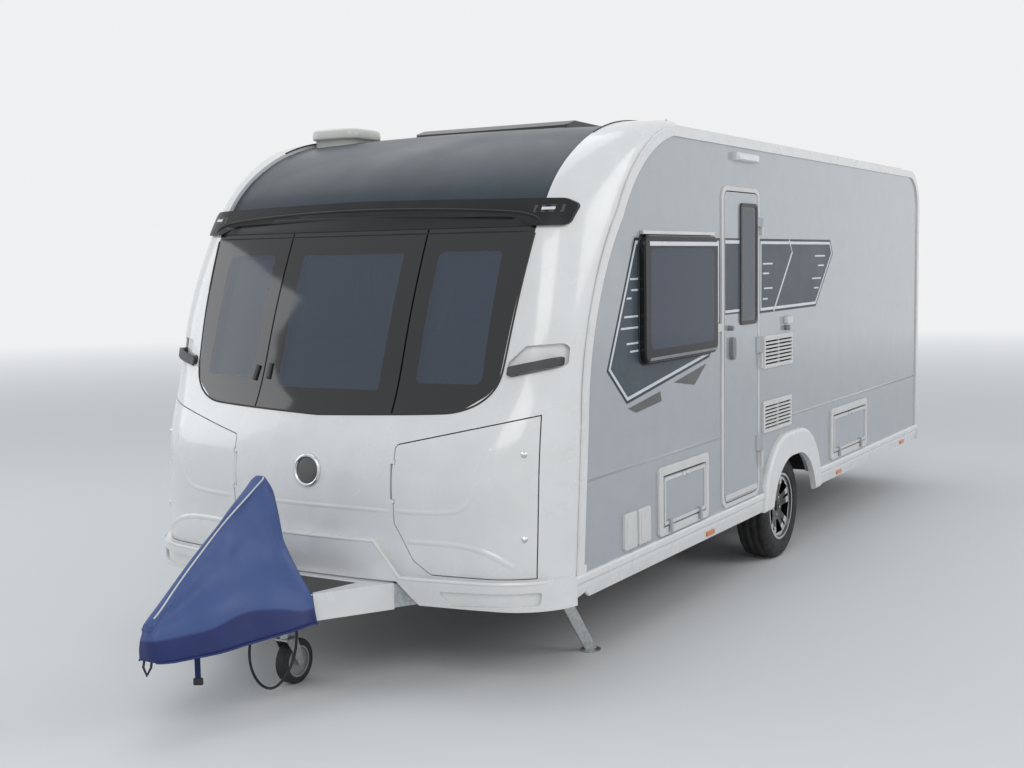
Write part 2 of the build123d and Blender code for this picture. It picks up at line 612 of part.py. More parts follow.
def wheel_arches():
    """Moulded trim round each wheel arch."""
    x = SIDE_X
    arch = arch_prism(ARCH_OUTER, x, x + ARCH_PROUD)
    arch = fillet(arch.faces().sort_by(Axis.X)[-1].edges(), ARCH_EDGE_R)
    arch -= arch_prism(ARCH_INNER, x - 1, x + ARCH_PROUD + 1)
    return both(arch)


def rooflight(row, below):
    """Rooflight seated on the shell below it, and the well that is cut from that shell."""
    x, y, width, length, height, lip, fall = row
    low_z, top = ROOF_MID_Z - ROOFLIGHT_DROP, ROOF_MID_Z + height
    y0, y1 = y - length / 2, y + length / 2
    light = prism_x([(y0, low_z), (y1, low_z), (y1, top - fall), (y + length * 0.4, top - fall * 0.6),
                     (y - length * 0.35, top), (y0, top - 30)], x - width / 2, x + width / 2)
    light = fillet(light.edges().filter_by(Axis.Z), lip * 0.8)
    light = fillet(light.faces().sort_by(Axis.Z)[-1].edges(), ROOFLIGHT_FILLET)
    light -= below
    sides = (x - width / 2 + lip, x + width / 2 - lip, y0 + lip, y1 - lip)
    light -= block(*sides, low_z, top - fall - DOME_T)
    return light, block(*sides, low_z - ROOFLIGHT_DROP, top)


def main_roof():
    """Roof behind the front moulding, and its large rooflight."""
    first = (*FRONT_RIBS[-1][:3], ROOF_MID_Z, ROOF_BOW_R)
    level = [first, rear_rib(0)]
    light, well = rooflight(LARGE_ROOFLIGHT, rib_shell(level, 0, -ROOFLIGHT_BASE))
    roof = rib_shell(level) - side_prism(-SIDE_X - 50, SIDE_X + 50) - well
    return roof, light


def rear_rib(turn):
    """Rib of the rear upper corner, where the side wall's edge has turned by this angle from the rail."""
    t = radians(turn)
    corner_y, corner_z = REAR_Y - REAR_CORNER_R, RAIL_Z - REAR_CORNER_R
    rise = ROOF_MID_Z - RAIL_Z
    edge = (corner_y + REAR_CORNER_R * sin(t), corner_z + REAR_CORNER_R * cos(t))
    reach_y, reach_z = REAR_CORNER_R + REAR_BOW, REAR_CORNER_R + REAR_BOW
    mid = (corner_y + reach_y * sin(t), corner_z + rise - REAR_BOW + reach_z * cos(t))
    return (*edge, *mid, ROOF_BOW_R + (REAR_BOW_R - ROOF_BOW_R) * turn / 90)


def rear_foot():
    """Lowest rib of the rear panel."""
    return (REAR_Y, FLOOR_Z, REAR_Y + REAR_BOW, FLOOR_Z, REAR_BOW_R)


def rear_pieces():
    """Rear panel with its upper corner, the lamp columns and the bumper."""
    outline = side_prism(-SIDE_X - 50, SIDE_X + 50)
    corner = [rear_rib(turn) for turn in (0, 22.5, 45, 67.5, 90)]
    upright = [corner[-1], rear_foot()]
    panel = rib_shell(corner) + rib_shell(upright) - outline
    x0, x1, z0, z1 = REAR_LAMP
    columns = rib_shell(upright, LAMP_PROUD, -8)
    columns &= prism_y([(x0, z0), (x1, z0), (x1, z1), (x0, z1)], 2900, 3400, 20)
    lamp = columns - panel
    bumper = rib_shell(REAR_BUMPER_RIBS, REAR_BUMPER_OUT, -14) - panel - outline
    bumper -= block(-2000, 2000, 0, SKIRT_Y[1], 0, 3000)
    for rail in edge_rails():
        bumper -= rail
    return panel, both(lamp), bumper


def floor_end(rib, way):
    """Bowed end of the floor, just inside a front (way -1) or rear (way 1) panel."""
    edge_y, _, mid_y, _, bow_r = rib
    depth = abs(mid_y - edge_y) + TUCK
    corner_r = (2 * bow_r * depth - depth ** 2 - SIDE_X ** 2) / (2 * (bow_r - SIDE_X))
    inner = -WALL_T - SEAT
    bow = make_face(bow_line(SIDE_X, depth, bow_r, corner_r, inner)
                    + [Line((-SIDE_X - inner, 0), (SIDE_X + inner, 0))])
    plane = Plane(origin=(0, edge_y - way * TUCK, FLOOR_Z), x_dir=(1, 0, 0), z_dir=(0, 0, way))
    return extrude(plane * bow, FLOOR_T, dir=(0, 0, 1))


def floor_and_wheel_boxes():
    """Bonded floor to the inside of the walls, with a box over each wheel."""
    inner_x = SIDE_X - WALL_T
    floor = floor_end(FRONT_RIBS[0], -1) + floor_end(rear_foot(), 1)
    floor += block(-inner_x, inner_x, FRONT_RIBS[0][0] + TUCK - 1, REAR_Y - TUCK + 1, FLOOR_Z,
                   FLOOR_Z + FLOOR_T)
    y0, y1 = WHEEL_BOX_Y
    for side in (1, -1):
        xs = sorted((side * WHEEL_BOX_X, side * inner_x))
        hollow = sorted((side * (WHEEL_BOX_X + WHEEL_BOX_T), side * (inner_x + 1)))
        floor += block(*xs, y0, y1, FLOOR_Z, WHEEL_BOX_TOP)
        floor -= block(*hollow, y0 + WHEEL_BOX_T, y1 - WHEEL_BOX_T, FLOOR_Z - 1, WHEEL_BOX_TOP - WHEEL_BOX_T)
    return floor


def beside_arm(along, out):
    """Point in plan beside the +X drawbar arm: along it from its tip and out from its centre line."""
    tip, join = Vector(*ARM_TIP), Vector(*ARM_JOIN)
    run = (join - tip).normalized()
    place = tip + run * along + Vector(run.Y, -run.X) * out
    return (place.X, place.Y)


def chassis_frame():
    """Main members, cross members, drawbar arms and the overrun housing."""
    length = (Vector(*ARM_JOIN) - Vector(*ARM_TIP)).length
    half = ARM_W / 2
    arm = prism_z([beside_arm(*p) for p in ((0, half), (0, -half), (length, -half), (length, half))], *ARM_Z)
    member = block(MEMBER_X - MEMBER_W / 2, MEMBER_X + MEMBER_W / 2, ARM_JOIN[1] - 30, MEMBER_END_Y,
                   MEMBER_BOTTOM, FLOOR_Z)
    side = member + arm
    frame = side + mirror(side, Plane.YZ)
    for y in CROSS_Y:
        frame += block(-STEADY_X - 40, STEADY_X + 40, y - 25, y + 25, CROSS_Z[0], CROSS_Z[1])
    frame += block(-80, 80, HOUSING_Y[0], HOUSING_Y[1], *ARM_Z)
    beam_front = CLAMP_FACE_Y - CLAMP_BEAM
    slope = (ARM_JOIN[0] - ARM_TIP[0]) / (ARM_JOIN[1] - ARM_TIP[1])
    beam_half = ARM_TIP[0] + (beam_front - ARM_TIP[1]) * slope
    frame += block(-beam_half, beam_half, beam_front, CLAMP_FACE_Y, ARM_Z[0] + 10, ARM_Z[1])
    y0, y1, thickness = JACK_PLATE
    plate = block(MEMBER_X - MEMBER_W / 2, MEMBER_X + MEMBER_W / 2, y0, y1, MEMBER_BOTTOM - thickness,
                  MEMBER_BOTTOM)
    frame += both(plate)
    return frame


def axle():
    """Hexagonal axle tube with trailing arms and stub axles."""
    z = MEMBER_BOTTOM - AXLE_FLAT / 2
    hexagon = RegularPolygon(AXLE_FLAT / 2, 6, major_radius=False)
    tube = extrude(Pos(-ARM_X[0], 0, 0) * (Plane.YZ * Pos(AXLE_Y, z, 0) * hexagon), 2 * ARM_X[0])
    lean = degrees(atan2(TYRE_R - z, -AXLE_Y))
    slot = Pos(AXLE_Y / 2, (z + TYRE_R) / 2, 0) * Rot(0, 0, lean) * SlotCenterToCenter(
        hypot(AXLE_Y, TYRE_R - z), ARM_H)
    for side in (1, -1):
        start = ARM_X[0] if side > 0 else -ARM_X[1]
        tube += extrude(Pos(start, 0, 0) * (Plane.YZ * slot), ARM_X[1] - ARM_X[0])
        tube += rod((side * ARM_X[1], 0, TYRE_R), (side * STUB_END_X, 0, TYRE_R), STUB_R)
    return tube


def road_wheel():
    """Alloy wheel with its brake drum, and the tyre, on the +X side."""
    inner_x, outer_x = TYRE_OUTER_X - TYRE_W, TYRE_OUTER_X
    flange_x = outer_x - 8
    face_x = outer_x - 18
    barrel = [(inner_x + 10, 178), (face_x - 6, 178), (flange_x, RIM_R - 12), (flange_x, RIM_R),
              (flange_x - 6, RIM_R), (flange_x - 12, 186), (inner_x + 18, 186), (inner_x + 12, RIM_R),
              (inner_x + 6, RIM_R), (inner_x + 4, RIM_R - 12)]
    disc = [(HUB_X[0], STUB_R + RUNNING), (HUB_X[0], DRUM_R), (HUB_X[0] + 45, DRUM_R), (HUB_X[0] + 45, 60),
            (face_x - 46, 60), (face_x - 40, 90), (face_x - 24, 182), (face_x - 2, 182), (face_x - 4, 150),
            (face_x - 20, 72), (face_x - 22, 40), (face_x - 22, 0), (STUB_END_X + 3, 0),
            (STUB_END_X + 3, STUB_R + RUNNING)]
    wheel = revolved(barrel) + revolved(disc)
    wide = [(86, -11), (86, 11), (172, 19), (172, -19)]
    slim = [(104, -2.5), (104, 2.5), (166, 4), (166, -4)]
    for spoke in range(SPOKES):
        for window, phase in ((wide, 180 / SPOKES), (slim, 0)):
            turn = 90 + phase + spoke * 360 / SPOKES
            points = [(r * cos(radians(turn + a)), TYRE_R + r * sin(radians(turn + a))) for r, a in window]
            wheel -= prism_x(points, face_x - 70, outer_x + 5)
    bead = RIM_R - 16
    tread = TYRE_R
    section = make_face([
        Polyline((inner_x + 12, bead), (inner_x + 9, RIM_R + 6)),
        ThreePointArc((inner_x + 9, RIM_R + 6), (inner_x, RIM_R + 52), (inner_x + 12, tread - 14)),
        ThreePointArc((inner_x + 12, tread - 14), ((inner_x + outer_x) / 2, tread),
                      (outer_x - 12, tread - 14)),
        ThreePointArc((outer_x - 12, tread - 14), (outer_x, RIM_R + 52), (outer_x - 9, RIM_R + 6)),
        Polyline((outer_x - 9, RIM_R + 6), (outer_x - 12, bead), (inner_x + 12, bead)),
    ])
    tyre = revolve(Pos(0, 0, TYRE_R) * (Plane.XZ * section), Axis((0, 0, TYRE_R), (1, 0, 0)), 360)
    tyre -= wheel
    return tyre.solids().sort_by(SortBy.VOLUME)[-1], wheel


def revolved(points):
    """Closed (x, r) outline turned about the wheel's axis."""
    face = Pos(0, 0, TYRE_R) * (Plane.XZ * make_face(Polyline(*points, close=True)))
    return revolve(face, Axis((0, 0, TYRE_R), (1, 0, 0)), 360)


def steadies():
    """Corner steadies: the front pair wound down, the rear pair folded up."""
    legs = []
    for foot, head in (STEADY_DOWN, STEADY_UP):
        a, b = Vector(*foot), Vector(*head)
        plane = Plane(origin=a, x_dir=(0.7, 0.7, 0) if foot[2] < 100 else (1, 0, 0), z_dir=b - a)
        section = Rectangle(52, 34) - Pos(0, 5) * Rectangle(44, 34)
        leg = extrude(plane * section, (b - a).length)
        if foot[2] < 100:
            leg -= block(0, 2000, -4000, 0, -200, 4)
            leg += Pos(foot[0], foot[1], 0) * Cylinder(48, 8, align=(Align.CENTER, Align.CENTER, Align.MIN))
            leg -= block(0, 2000, -4000, 0, CROSS_Z[0], 1000)
        legs += both(leg)
    return legs


def coupling_head():
    """Ball coupling with its socket open below, and the shaft back to the overrun housing."""
    body = Pos(0, BALL_Y, BALL_Z - 30) * Cylinder(40, 66, align=(Align.CENTER, Align.CENTER, Align.MIN))
    body += block(-34, 34, BALL_Y, HOUSING_Y[0] - 60, BALL_Z - 14, BALL_Z + 30)
    body += rod((0, HOUSING_Y[0] - 70, DRAW_Z), (0, HOUSING_Y[0], DRAW_Z), DRAW_R + 6)
    body += prism_x([(BALL_Y - 20, BALL_Z + 30), (BALL_Y + 40, BALL_Z + 62), (BALL_Y + 150, BALL_Z + 84),
                     (BALL_Y + 152, BALL_Z + 66), (BALL_Y + 60, BALL_Z + 30)], -16, 16)
    body -= Pos(0, BALL_Y, BALL_Z - 31) * Cylinder(BALL_R, SOCKET_DEPTH + 1,
                                                 align=(Align.CENTER, Align.CENTER, Align.MIN))
    return body


def handbrake_lever():
    """Raised handbrake lever on the overrun housing."""
    foot, top = LEVER
    lever = rod(foot, top, 10)
    a, b = Vector(*foot), Vector(*top)
    grip = a + (b - a) * 0.72
    lever += rod((grip.X, grip.Y, grip.Z), top, 15)
    lever += block(-20, 20, foot[1] - 45, foot[1] + 45, ARM_Z[1], ARM_Z[1] + 40)
    return lever


def jockey():
    """Clamped outer tube, the turning inner tube with its fork, and the wheel."""
    x, y = JOCKEY_X, JOCKEY_Y
    bore = 20.0
    tube = rod((x, y, JOCKEY_TUBE_Z[0]), (x, y, JOCKEY_TUBE_Z[1]), JOCKEY_TUBE_R)
    tube += Pos(x, y, 375) * Cylinder(JOCKEY_TUBE_R + 7, 60, align=(Align.CENTER, Align.CENTER, Align.MIN))
    tube += block(x - 26, x + 26, CLAMP_FACE_Y, y - 10, 380, 430)
    tube += rod((x, y - 10, JOCKEY_TUBE_Z[1] - 12), (x, y - 110, JOCKEY_TUBE_Z[1] - 12), 6)
    tube -= rod((x, y, JOCKEY_TUBE_Z[0] - 5), (x, y, JOCKEY_TUBE_Z[0] + 120), bore + RUNNING)
    inner_w = JOCKEY_W / 2 + 5
    fork = rod((x, y, JOCKEY_R + 108), (x, y, JOCKEY_TUBE_Z[0] + 118), bore)
    fork += block(x - inner_w - 5, x + inner_w + 5, y - 24, y + 46, JOCKEY_R + 106, JOCKEY_R + 114)
    axle_y = y + JOCKEY_TRAIL
    for side in (1, -1):
        xs = sorted((x + side * inner_w, x + side * (inner_w + 5)))
        fork += prism_x([(y - 24, JOCKEY_R + 108), (y + 46, JOCKEY_R + 108), (axle_y + 18, JOCKEY_R - 8),
                         (axle_y + 8, JOCKEY_R - 18), (axle_y - 8, JOCKEY_R - 18)], *xs)
    fork += rod((x - inner_w, axle_y, JOCKEY_R), (x + inner_w, axle_y, JOCKEY_R), JOCKEY_PIN_R)
    wheel = rod((x - JOCKEY_W / 2, axle_y, JOCKEY_R), (x + JOCKEY_W / 2, axle_y, JOCKEY_R), JOCKEY_R)
    wheel = fillet(wheel.edges().filter_by(GeomType.CIRCLE), 10)
    for side in (1, -1):
        wheel -= rod((x + side * (JOCKEY_W / 2 - 12), axle_y, JOCKEY_R),
                     (x + side * JOCKEY_W, axle_y, JOCKEY_R), 62)
        wheel += rod((x + side * (JOCKEY_W / 2 - 14), axle_y, JOCKEY_R),
                     (x + side * (JOCKEY_W / 2), axle_y, JOCKEY_R), 18)
    wheel -= rod((x - JOCKEY_W, axle_y, JOCKEY_R), (x + JOCKEY_W, axle_y, JOCKEY_R), JOCKEY_PIN_R + RUNNING)
    return tube, fork, wheel


def drawbar_fairing():
    """White cheeks along the drawbar's arms and the plate that covers them."""
    near = ARM_W / 2 + SEAT
    far = near + FAIRING_T
    plate_z = ARM_Z[1] + SEAT
    start, plate_start, end = FAIRING_ALONG
    cheek = prism_z([beside_arm(*p) for p in ((start, near), (start, far), (end, far), (end, near))],
                    ARM_Z[0] - 6, plate_z + FAIRING_T)
    edge = [beside_arm(plate_start, near), beside_arm(end, near)]
    plate = prism_z(edge + [(-x, y) for x, y in reversed(edge)], plate_z, plate_z + FAIRING_T)
    plate -= rod((JOCKEY_X, JOCKEY_Y, 300), (JOCKEY_X, JOCKEY_Y, 600), JOCKEY_TUBE_R + 10)
    return plate + cheek + mirror(cheek, Plane.YZ)


def cover_section(row, shrink):
    """Upright section across the hitch cover: wide foot, knee and narrow rounded top."""
    y, foot_half, foot_z, knee_half, knee_z, top_half, top_z = row
    low_z = foot_z - 20 if shrink else foot_z
    points = [(foot_half - shrink, low_z), (knee_half - shrink, knee_z),
              (top_half + 8 - shrink * 0.6, top_z - 30), (top_half - shrink * 0.6, top_z - shrink)]
    points += [(-px, pz) for px, pz in reversed(points)]
    return Pos(0, y, 0) * (Plane.XZ * make_face(Polyline(*points, close=True)))


def hitch_cover():
    """Fitted vinyl cover over the coupling and the raised lever, open below."""
    outer = loft([cover_section(row, 0) for row in COVER_ROWS], ruled=True)
    inner_rows = [list(row) for row in COVER_ROWS]
    inner_rows[0][0] += COVER_T
    inner_rows[-1][0] -= COVER_T
    inner = loft([cover_section(row, COVER_T) for row in inner_rows], ruled=True)
    return outer - inner


def route_tube(points, diameter):
    """Round cord along straight runs joined by tangent arcs; prints its radii and length."""
    corners = [Vector(*p) for p in points]
    radii = []
    for a, b, c in zip(corners, corners[1:], corners[2:]):
        turn = radians((b - a).get_angle(c - b))
        radii.append(0.45 * min((b - a).length, (c - b).length) / tan(turn / 2))
    path = FilletPolyline(*points, radius=radii)
    section = Plane(origin=points[0], z_dir=corners[1] - corners[0]) * Circle(diameter / 2)
    tube = sweep(section, path)
    print("cord radii", [round(r) for r in radii], "length", round(path.length),
          "volume ratio", round(tube.volume / (path.length * pi * (diameter / 2) ** 2), 4))
    return tube


def lead_and_sockets():
    """Electrical lead with its plug, and the parking socket and gland that hold its ends."""
    lead = route_tube(LEAD_ROUTE, LEAD_D)
    start, end = LEAD_ROUTE[0], LEAD_ROUTE[-1]
    beam = CLAMP_FACE_Y - CLAMP_BEAM
    gland = Pos(*start) * Cylinder(13, 22, align=(Align.CENTER, Align.CENTER, Align.MIN))
    gland += block(start[0] - 22, start[0] + 22, start[1] - 22, beam, start[2] + 22, start[2] + 30)
    gland += block(start[0] - 22, start[0] + 22, beam - 8, beam, start[2] + 22, start[2] + 70)
    plug = Pos(*end) * Cylinder(19, 55, align=(Align.CENTER, Align.CENTER, Align.MIN))
    plug = fillet(plug.faces().sort_by(Axis.Z)[0].edges(), 6)
    socket = block(end[0] - SOCKET_HALF, end[0] + SOCKET_HALF, end[1] - 24, beam, end[2] + 55,
                   end[2] + 80)
    return lead, plug, [gland, socket]


def front_lamps_and_markers():
    """Amber side markers, white front markers and the awning lamp over the door."""
    pieces = []
    skirt = skirt_band()
    for y in MARKER_Y:
        marker = block(SIDE_X + 4, SIDE_X + 16, y - 50, y + 50, 388, 412)
        pieces += both(marker - skirt)
    y0, y1, z = AWNING_LAMP
    lamp = block(SIDE_X, SIDE_X + 30, y0, y1, z - 22, z + 22)
    pieces.append(fillet(lamp.faces().sort_by(Axis.X)[-1].edges(), 10))
    return pieces


def grab_handles(front):
    """Handles across the front corners, with a finger gap between the bar and its scoop."""
    x0, x1, z0, z1 = GRAB
    foot = (x1 - x0) / 6
    bar_box = prism_y([(x0, z0), (x1, z0 + GRAB_RISE), (x1, z1 + GRAB_RISE), (x0, z1)], -3400, -2500, 10)
    feet = block(x0, x0 + foot, -3400, -2500, z0, z1 + GRAB_RISE)
    feet += block(x1 - foot, x1, -3400, -2500, z0, z1 + GRAB_RISE)
    bar = rib_shell(FRONT_RIBS, GRAB_OUT, GRAB_OUT - GRAB_T) & bar_box
    feet = (rib_shell(FRONT_RIBS, GRAB_OUT - 4, -SCOOP_DEPTH - 4) & bar_box & feet) - front
    return both(bar + feet)


def interior():
    """What shows through the windows: front seats and chest, kitchen, a partition."""
    top = FLOOR_Z + FLOOR_T
    inner_x = SIDE_X - WALL_T - 2
    units = both(block(BENCH_X, inner_x, BENCH_Y[0], BENCH_Y[1], top, top + BENCH_H))
    units.append(block(-BENCH_X + 60, BENCH_X - 60, BENCH_Y[0], BENCH_Y[0] + 380, top, top + CHEST_H))
    units.append(block(-inner_x, -inner_x + 560, -1000, 700, top, top + 900))
    units.append(block(-inner_x, inner_x - 700, 1160, 1200, top, 2440))
    bulkhead = block(-inner_x + 8, inner_x - 8, *BULKHEAD_Y, top, BULKHEAD_Z)
    bulkhead += block(-SHELF_X, SHELF_X, SHELF_Y, BULKHEAD_Y[1], BULKHEAD_Z, BULKHEAD_Z + 15)
    units.append(bulkhead)
    wheel_box = block(-SIDE_X, -WHEEL_BOX_X + SEAT, WHEEL_BOX_Y[0] - SEAT, WHEEL_BOX_Y[1] + SEAT, 0,
                      WHEEL_BOX_TOP + SEAT)
    units = [unit - wheel_box for unit in units]
    pads = []
    for side in both(block(BENCH_X + 5, inner_x - 5, BENCH_Y[0] + 5, BENCH_Y[1] - 5, top + BENCH_H + SEAT,
                           top + BENCH_H + 130)):
        pads.append(side)
    back = block(inner_x - 160, inner_x - 20, BENCH_Y[0] + 5, BENCH_Y[1] - 5, top + BENCH_H + 130 + SEAT,
                 top + BENCH_H + 430)
    pads += both(back)
    return units, pads


def write(node, shape):
    """Write one node's solids, moved to the stored frame."""
    solids = []
    for piece in shape if isinstance(shape, list) else [shape]:
        solids += list(piece.solids())
    moved = [Pos(0, SHIFT_Y, 0) * s for s in solids]
    export_step(moved[0] if len(moved) == 1 else Compound(children=moved), f"parts/{node}.step")
    print(f"{node:20s} {len(moved)} {sum(s.volume for s in moved) / 1e6:9.2f}")


def main():
    """Build and write every node."""
    os.makedirs("parts", exist_ok=True)
    shell, glazing, dark_roof, brow, lockers, bumper, small_light = front_pieces()
    roof, large_light = main_roof()
    panel, lamps, rear_bumper = rear_pieces()
    frame, leaf, window, fittings = entrance_door()
    hatch_frames, hatches = service_hatches()
    tyre, wheel = road_wheel()
    tube, fork, jockey_wheel = jockey()
    lead, plug, sockets = lead_and_sockets()
    units, pads = interior()
    tyre_right, wheel_right = (mirror(piece, Plane.YZ) for piece in (tyre, wheel))
    nodes = {
        "front_panel": shell, "front_windows": glazing, "front_roof_panel": dark_roof, "brow": brow,
        "front_bumper": bumper, "locker_door_left": lockers[0], "locker_door_right": lockers[1],
        "side_wall_left": side_wall(1), "side_wall_right": side_wall(-1), "side_windows": side_windows(),
        "roof": roof, "large_rooflight": large_light, "small_rooflight": small_light,
        "rear_panel": panel, "rear_lamps": lamps, "rear_bumper": rear_bumper,
        "edge_rails": edge_rails(), "side_skirts": side_skirts(), "wheel_arches": wheel_arches(),
        "door_frame": frame, "entrance_door": leaf, "door_window": window, "door_fittings": fittings,
        "service_frames": hatch_frames, **hatches, "wall_vents": wall_vents(),
        "marker_lamps": front_lamps_and_markers(), "grab_handles": grab_handles(shell),
        "floor": floor_and_wheel_boxes(), "chassis_frame": chassis_frame(), "axle": axle(),
        "tyre_left": tyre, "wheel_left": wheel, "tyre_right": tyre_right, "wheel_right": wheel_right,
        "corner_steadies": steadies(), "coupling_head": coupling_head(), "handbrake_lever": handbrake_lever(),
        "jockey_tube": tube, "jockey_fork": fork, "jockey_wheel": jockey_wheel,
        "drawbar_fairing": drawbar_fairing(), "hitch_cover": hitch_cover(),
        "tow_lead": lead, "tow_plug": plug, "lead_holders": sockets,
        "furniture": units, "seat_cushions": pads,
    }
    for node, shape in nodes.items():
        write(node, shape)


main()
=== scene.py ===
from math import cos, hypot, pi, radians, sin

import bmesh
import bpy
from mathutils import Matrix, Vector
from mathutils.bvhtree import BVHTree


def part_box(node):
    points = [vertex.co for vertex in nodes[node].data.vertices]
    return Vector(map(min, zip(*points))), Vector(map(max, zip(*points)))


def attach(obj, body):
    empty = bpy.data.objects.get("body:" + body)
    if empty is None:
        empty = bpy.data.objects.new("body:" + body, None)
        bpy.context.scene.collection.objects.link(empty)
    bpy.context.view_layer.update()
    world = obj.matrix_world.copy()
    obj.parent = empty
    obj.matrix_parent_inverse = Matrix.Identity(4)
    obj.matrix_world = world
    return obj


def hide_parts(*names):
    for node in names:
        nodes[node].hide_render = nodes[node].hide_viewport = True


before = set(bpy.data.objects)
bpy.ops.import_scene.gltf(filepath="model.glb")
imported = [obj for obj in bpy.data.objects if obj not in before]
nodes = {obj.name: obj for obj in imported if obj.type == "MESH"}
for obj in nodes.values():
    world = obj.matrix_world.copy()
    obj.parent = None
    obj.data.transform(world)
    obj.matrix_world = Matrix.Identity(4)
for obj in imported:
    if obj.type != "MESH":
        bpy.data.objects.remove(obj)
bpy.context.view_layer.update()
scene = bpy.context.scene
scene.view_settings.view_transform = "Standard"

# Places are in metres with y = 0 at the road wheels' axle, as the caravan was drawn; at() moves them
tyre_low, tyre_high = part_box("tyre_left")
AXLE_Y = (tyre_low.y + tyre_high.y) / 2
SIDE_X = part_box("side_wall_left")[1].x
# The sides, by the sign of x
TAGS = {1: "left", -1: "right"}


def at(x, y, z):
    """Point of the drawing in the frame."""
    return Vector((x, y + AXLE_Y, z))


# Meshes

def new_object(name, data):
    """Object that is linked to the scene."""
    obj = bpy.data.objects.new(name, data)
    scene.collection.objects.link(obj)
    return obj


def dressed(obj, material, body):
    """Give an object its material and its body."""
    obj.data.materials.append(material.mat)
    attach(obj, body)
    return obj


def finish_object(name, mesh, material, body, smooth):
    """Object of a mesh, shaded and dressed."""
    for polygon in mesh.polygons:
        polygon.use_smooth = smooth
    return dressed(new_object(name, mesh), material, body)


def mesh_object(name, verts, faces, material, body="root", smooth=True):
    """Object from vertices and faces."""
    mesh = bpy.data.meshes.new(name)
    mesh.from_pydata([tuple(v) for v in verts], [], faces)
    mesh.validate()
    return finish_object(name, mesh, material, body, smooth)


def bmesh_of(verts, faces):
    """Bmesh from vertices and faces."""
    bm = bmesh.new()
    points = [bm.verts.new(v) for v in verts]
    for face in faces:
        bm.faces.new([points[i] for i in face])
    return bm


def from_bmesh(name, bm, material, body="root", smooth=True):
    """Object from a bmesh, which is freed; its faces are turned outwards."""
    bmesh.ops.recalc_face_normals(bm, faces=bm.faces)
    mesh = bpy.data.meshes.new(name)
    bm.to_mesh(mesh)
    bm.free()
    return finish_object(name, mesh, material, body, smooth)


def strips(rows, n, closed=False):
    """Faces between rows of n points each."""
    return [[k * n + i, k * n + (i + 1) % n, (k + 1) * n + (i + 1) % n, (k + 1) * n + i]
            for k in range(rows - 1) for i in range(n if closed else n - 1)]


def turned(steps, n):
    """Faces of a profile of n points that is turned all the way round in steps."""
    faces = []
    for k in range(steps):
        here, there = k * n, (k + 1) % steps * n
        faces += [[here + i, there + i, there + i + 1, here + i + 1] for i in range(n - 1)]
    return faces


def soften(obj, width):
    """Bevelled edges with flat-looking faces."""
    bevel = obj.modifiers.new("bevel", "BEVEL")
    bevel.width = width
    bevel.segments = 2
    bevel.limit_method = "ANGLE"
    bevel.angle_limit = radians(30)
    bevel.harden_normals = True
    return obj


def extruded(name, outline, low, high, place, material, body="root", bevel=0, slot=None):
    """Flat outline drawn out between two levels; place(u, v, w) gives each corner's point."""
    n = len(outline)
    verts = [place(u, v, w) for w in (low, high) for u, v in outline]
    faces = [list(range(n))[::-1], list(range(n, 2 * n))] + strips(2, n, True)
    obj = from_bmesh(name, bmesh_of(verts, faces), material, body, False)
    return soften(obj, bevel) if bevel else obj


def frame_ring(name, outer, inner, high, place, material, body, bevel):
    """Flat ring between two outlines with as many points, drawn out from 0 to a level."""
    n = len(outer)
    verts = [place(u, v, w) for w in (0, high) for ring in (outer, inner) for u, v in ring]
    faces = []
    for i in range(n):
        j = (i + 1) % n
        faces.append([2 * n + i, 2 * n + j, 3 * n + j, 3 * n + i])
        faces.append([i, n + i, n + j, j])
        faces.append([i, j, 2 * n + j, 2 * n + i])
        faces.append([n + i, 3 * n + i, 3 * n + j, n + j])
    return soften(from_bmesh(name, bmesh_of(verts, faces), material, body, False), bevel)


def oblong(u0, u1, v0, v1):
    """Corner points of a rectangle."""
    return [(u0, v0), (u1, v0), (u1, v1), (u0, v1)]


def rounded(u0, u1, v0, v1, r, steps=6):
    """Corner points of a rounded rectangle."""
    corners = ((u1 - r, v1 - r, 0), (u0 + r, v1 - r, 90), (u0 + r, v0 + r, 180), (u1 - r, v0 + r, 270))
    points = []
    for cu, cv, start in corners:
        for k in range(steps + 1):
            a = radians(start + 90 * k / steps)
            points.append((cu + r * cos(a), cv + r * sin(a)))
    return points


def on_side(lift, side=1):
    """Places (y, z) outlines on a side wall's outer face, drawn out sideways."""
    return lambda y, z, w: at(side * (SIDE_X + lift + w), y, z)


def curve_along(name, kind, points, radius, rounding):
    """Data of a round bar along points, with its spline."""
    curve = bpy.data.curves.new(name, "CURVE")
    curve.dimensions = "3D"
    curve.bevel_depth = radius
    curve.bevel_resolution = rounding
    spline = curve.splines.new(kind)
    spline.points.add(len(points) - 1)
    for point, place in zip(spline.points, points):
        point.co = (*place, 1)
    return curve, spline


def tube(name, points, radius, material, body="root", slot=None, sides=12, cyclic=False):
    """Round bar along points; a place that a ray missed is None and is left out."""
    points = [point for point in points if point is not None]
    curve, spline = curve_along(name, "POLY", points, radius, sides // 4)
    spline.use_cyclic_u = cyclic
    curve.use_fill_caps = True
    return dressed(new_object(name, curve), material, body)


def lathe(name, profile, centre, axis, material, body="root", segments=32):
    """(radius, along) profile turned about an axis."""
    turn = Vector((0, 0, 1)).rotation_difference(Vector(axis)).to_matrix()
    verts = []
    for k in range(segments):
        a = 2 * pi * k / segments
        for r, h in profile:
            verts.append(Vector(centre) + turn @ Vector((r * cos(a), r * sin(a), h)))
    bm = bmesh_of(verts, turned(segments, len(profile)))
    bmesh.ops.remove_doubles(bm, verts=bm.verts, dist=1e-6)
    return from_bmesh(name, bm, material, body)


def stud(flat, top, radius, shoulder, foot=0):
    """Profile of a small round head with a chamfered edge."""
    return [(0, top), (flat, top), (radius, shoulder), (radius, foot), (0, foot)]


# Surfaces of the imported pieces, for details that are laid on them

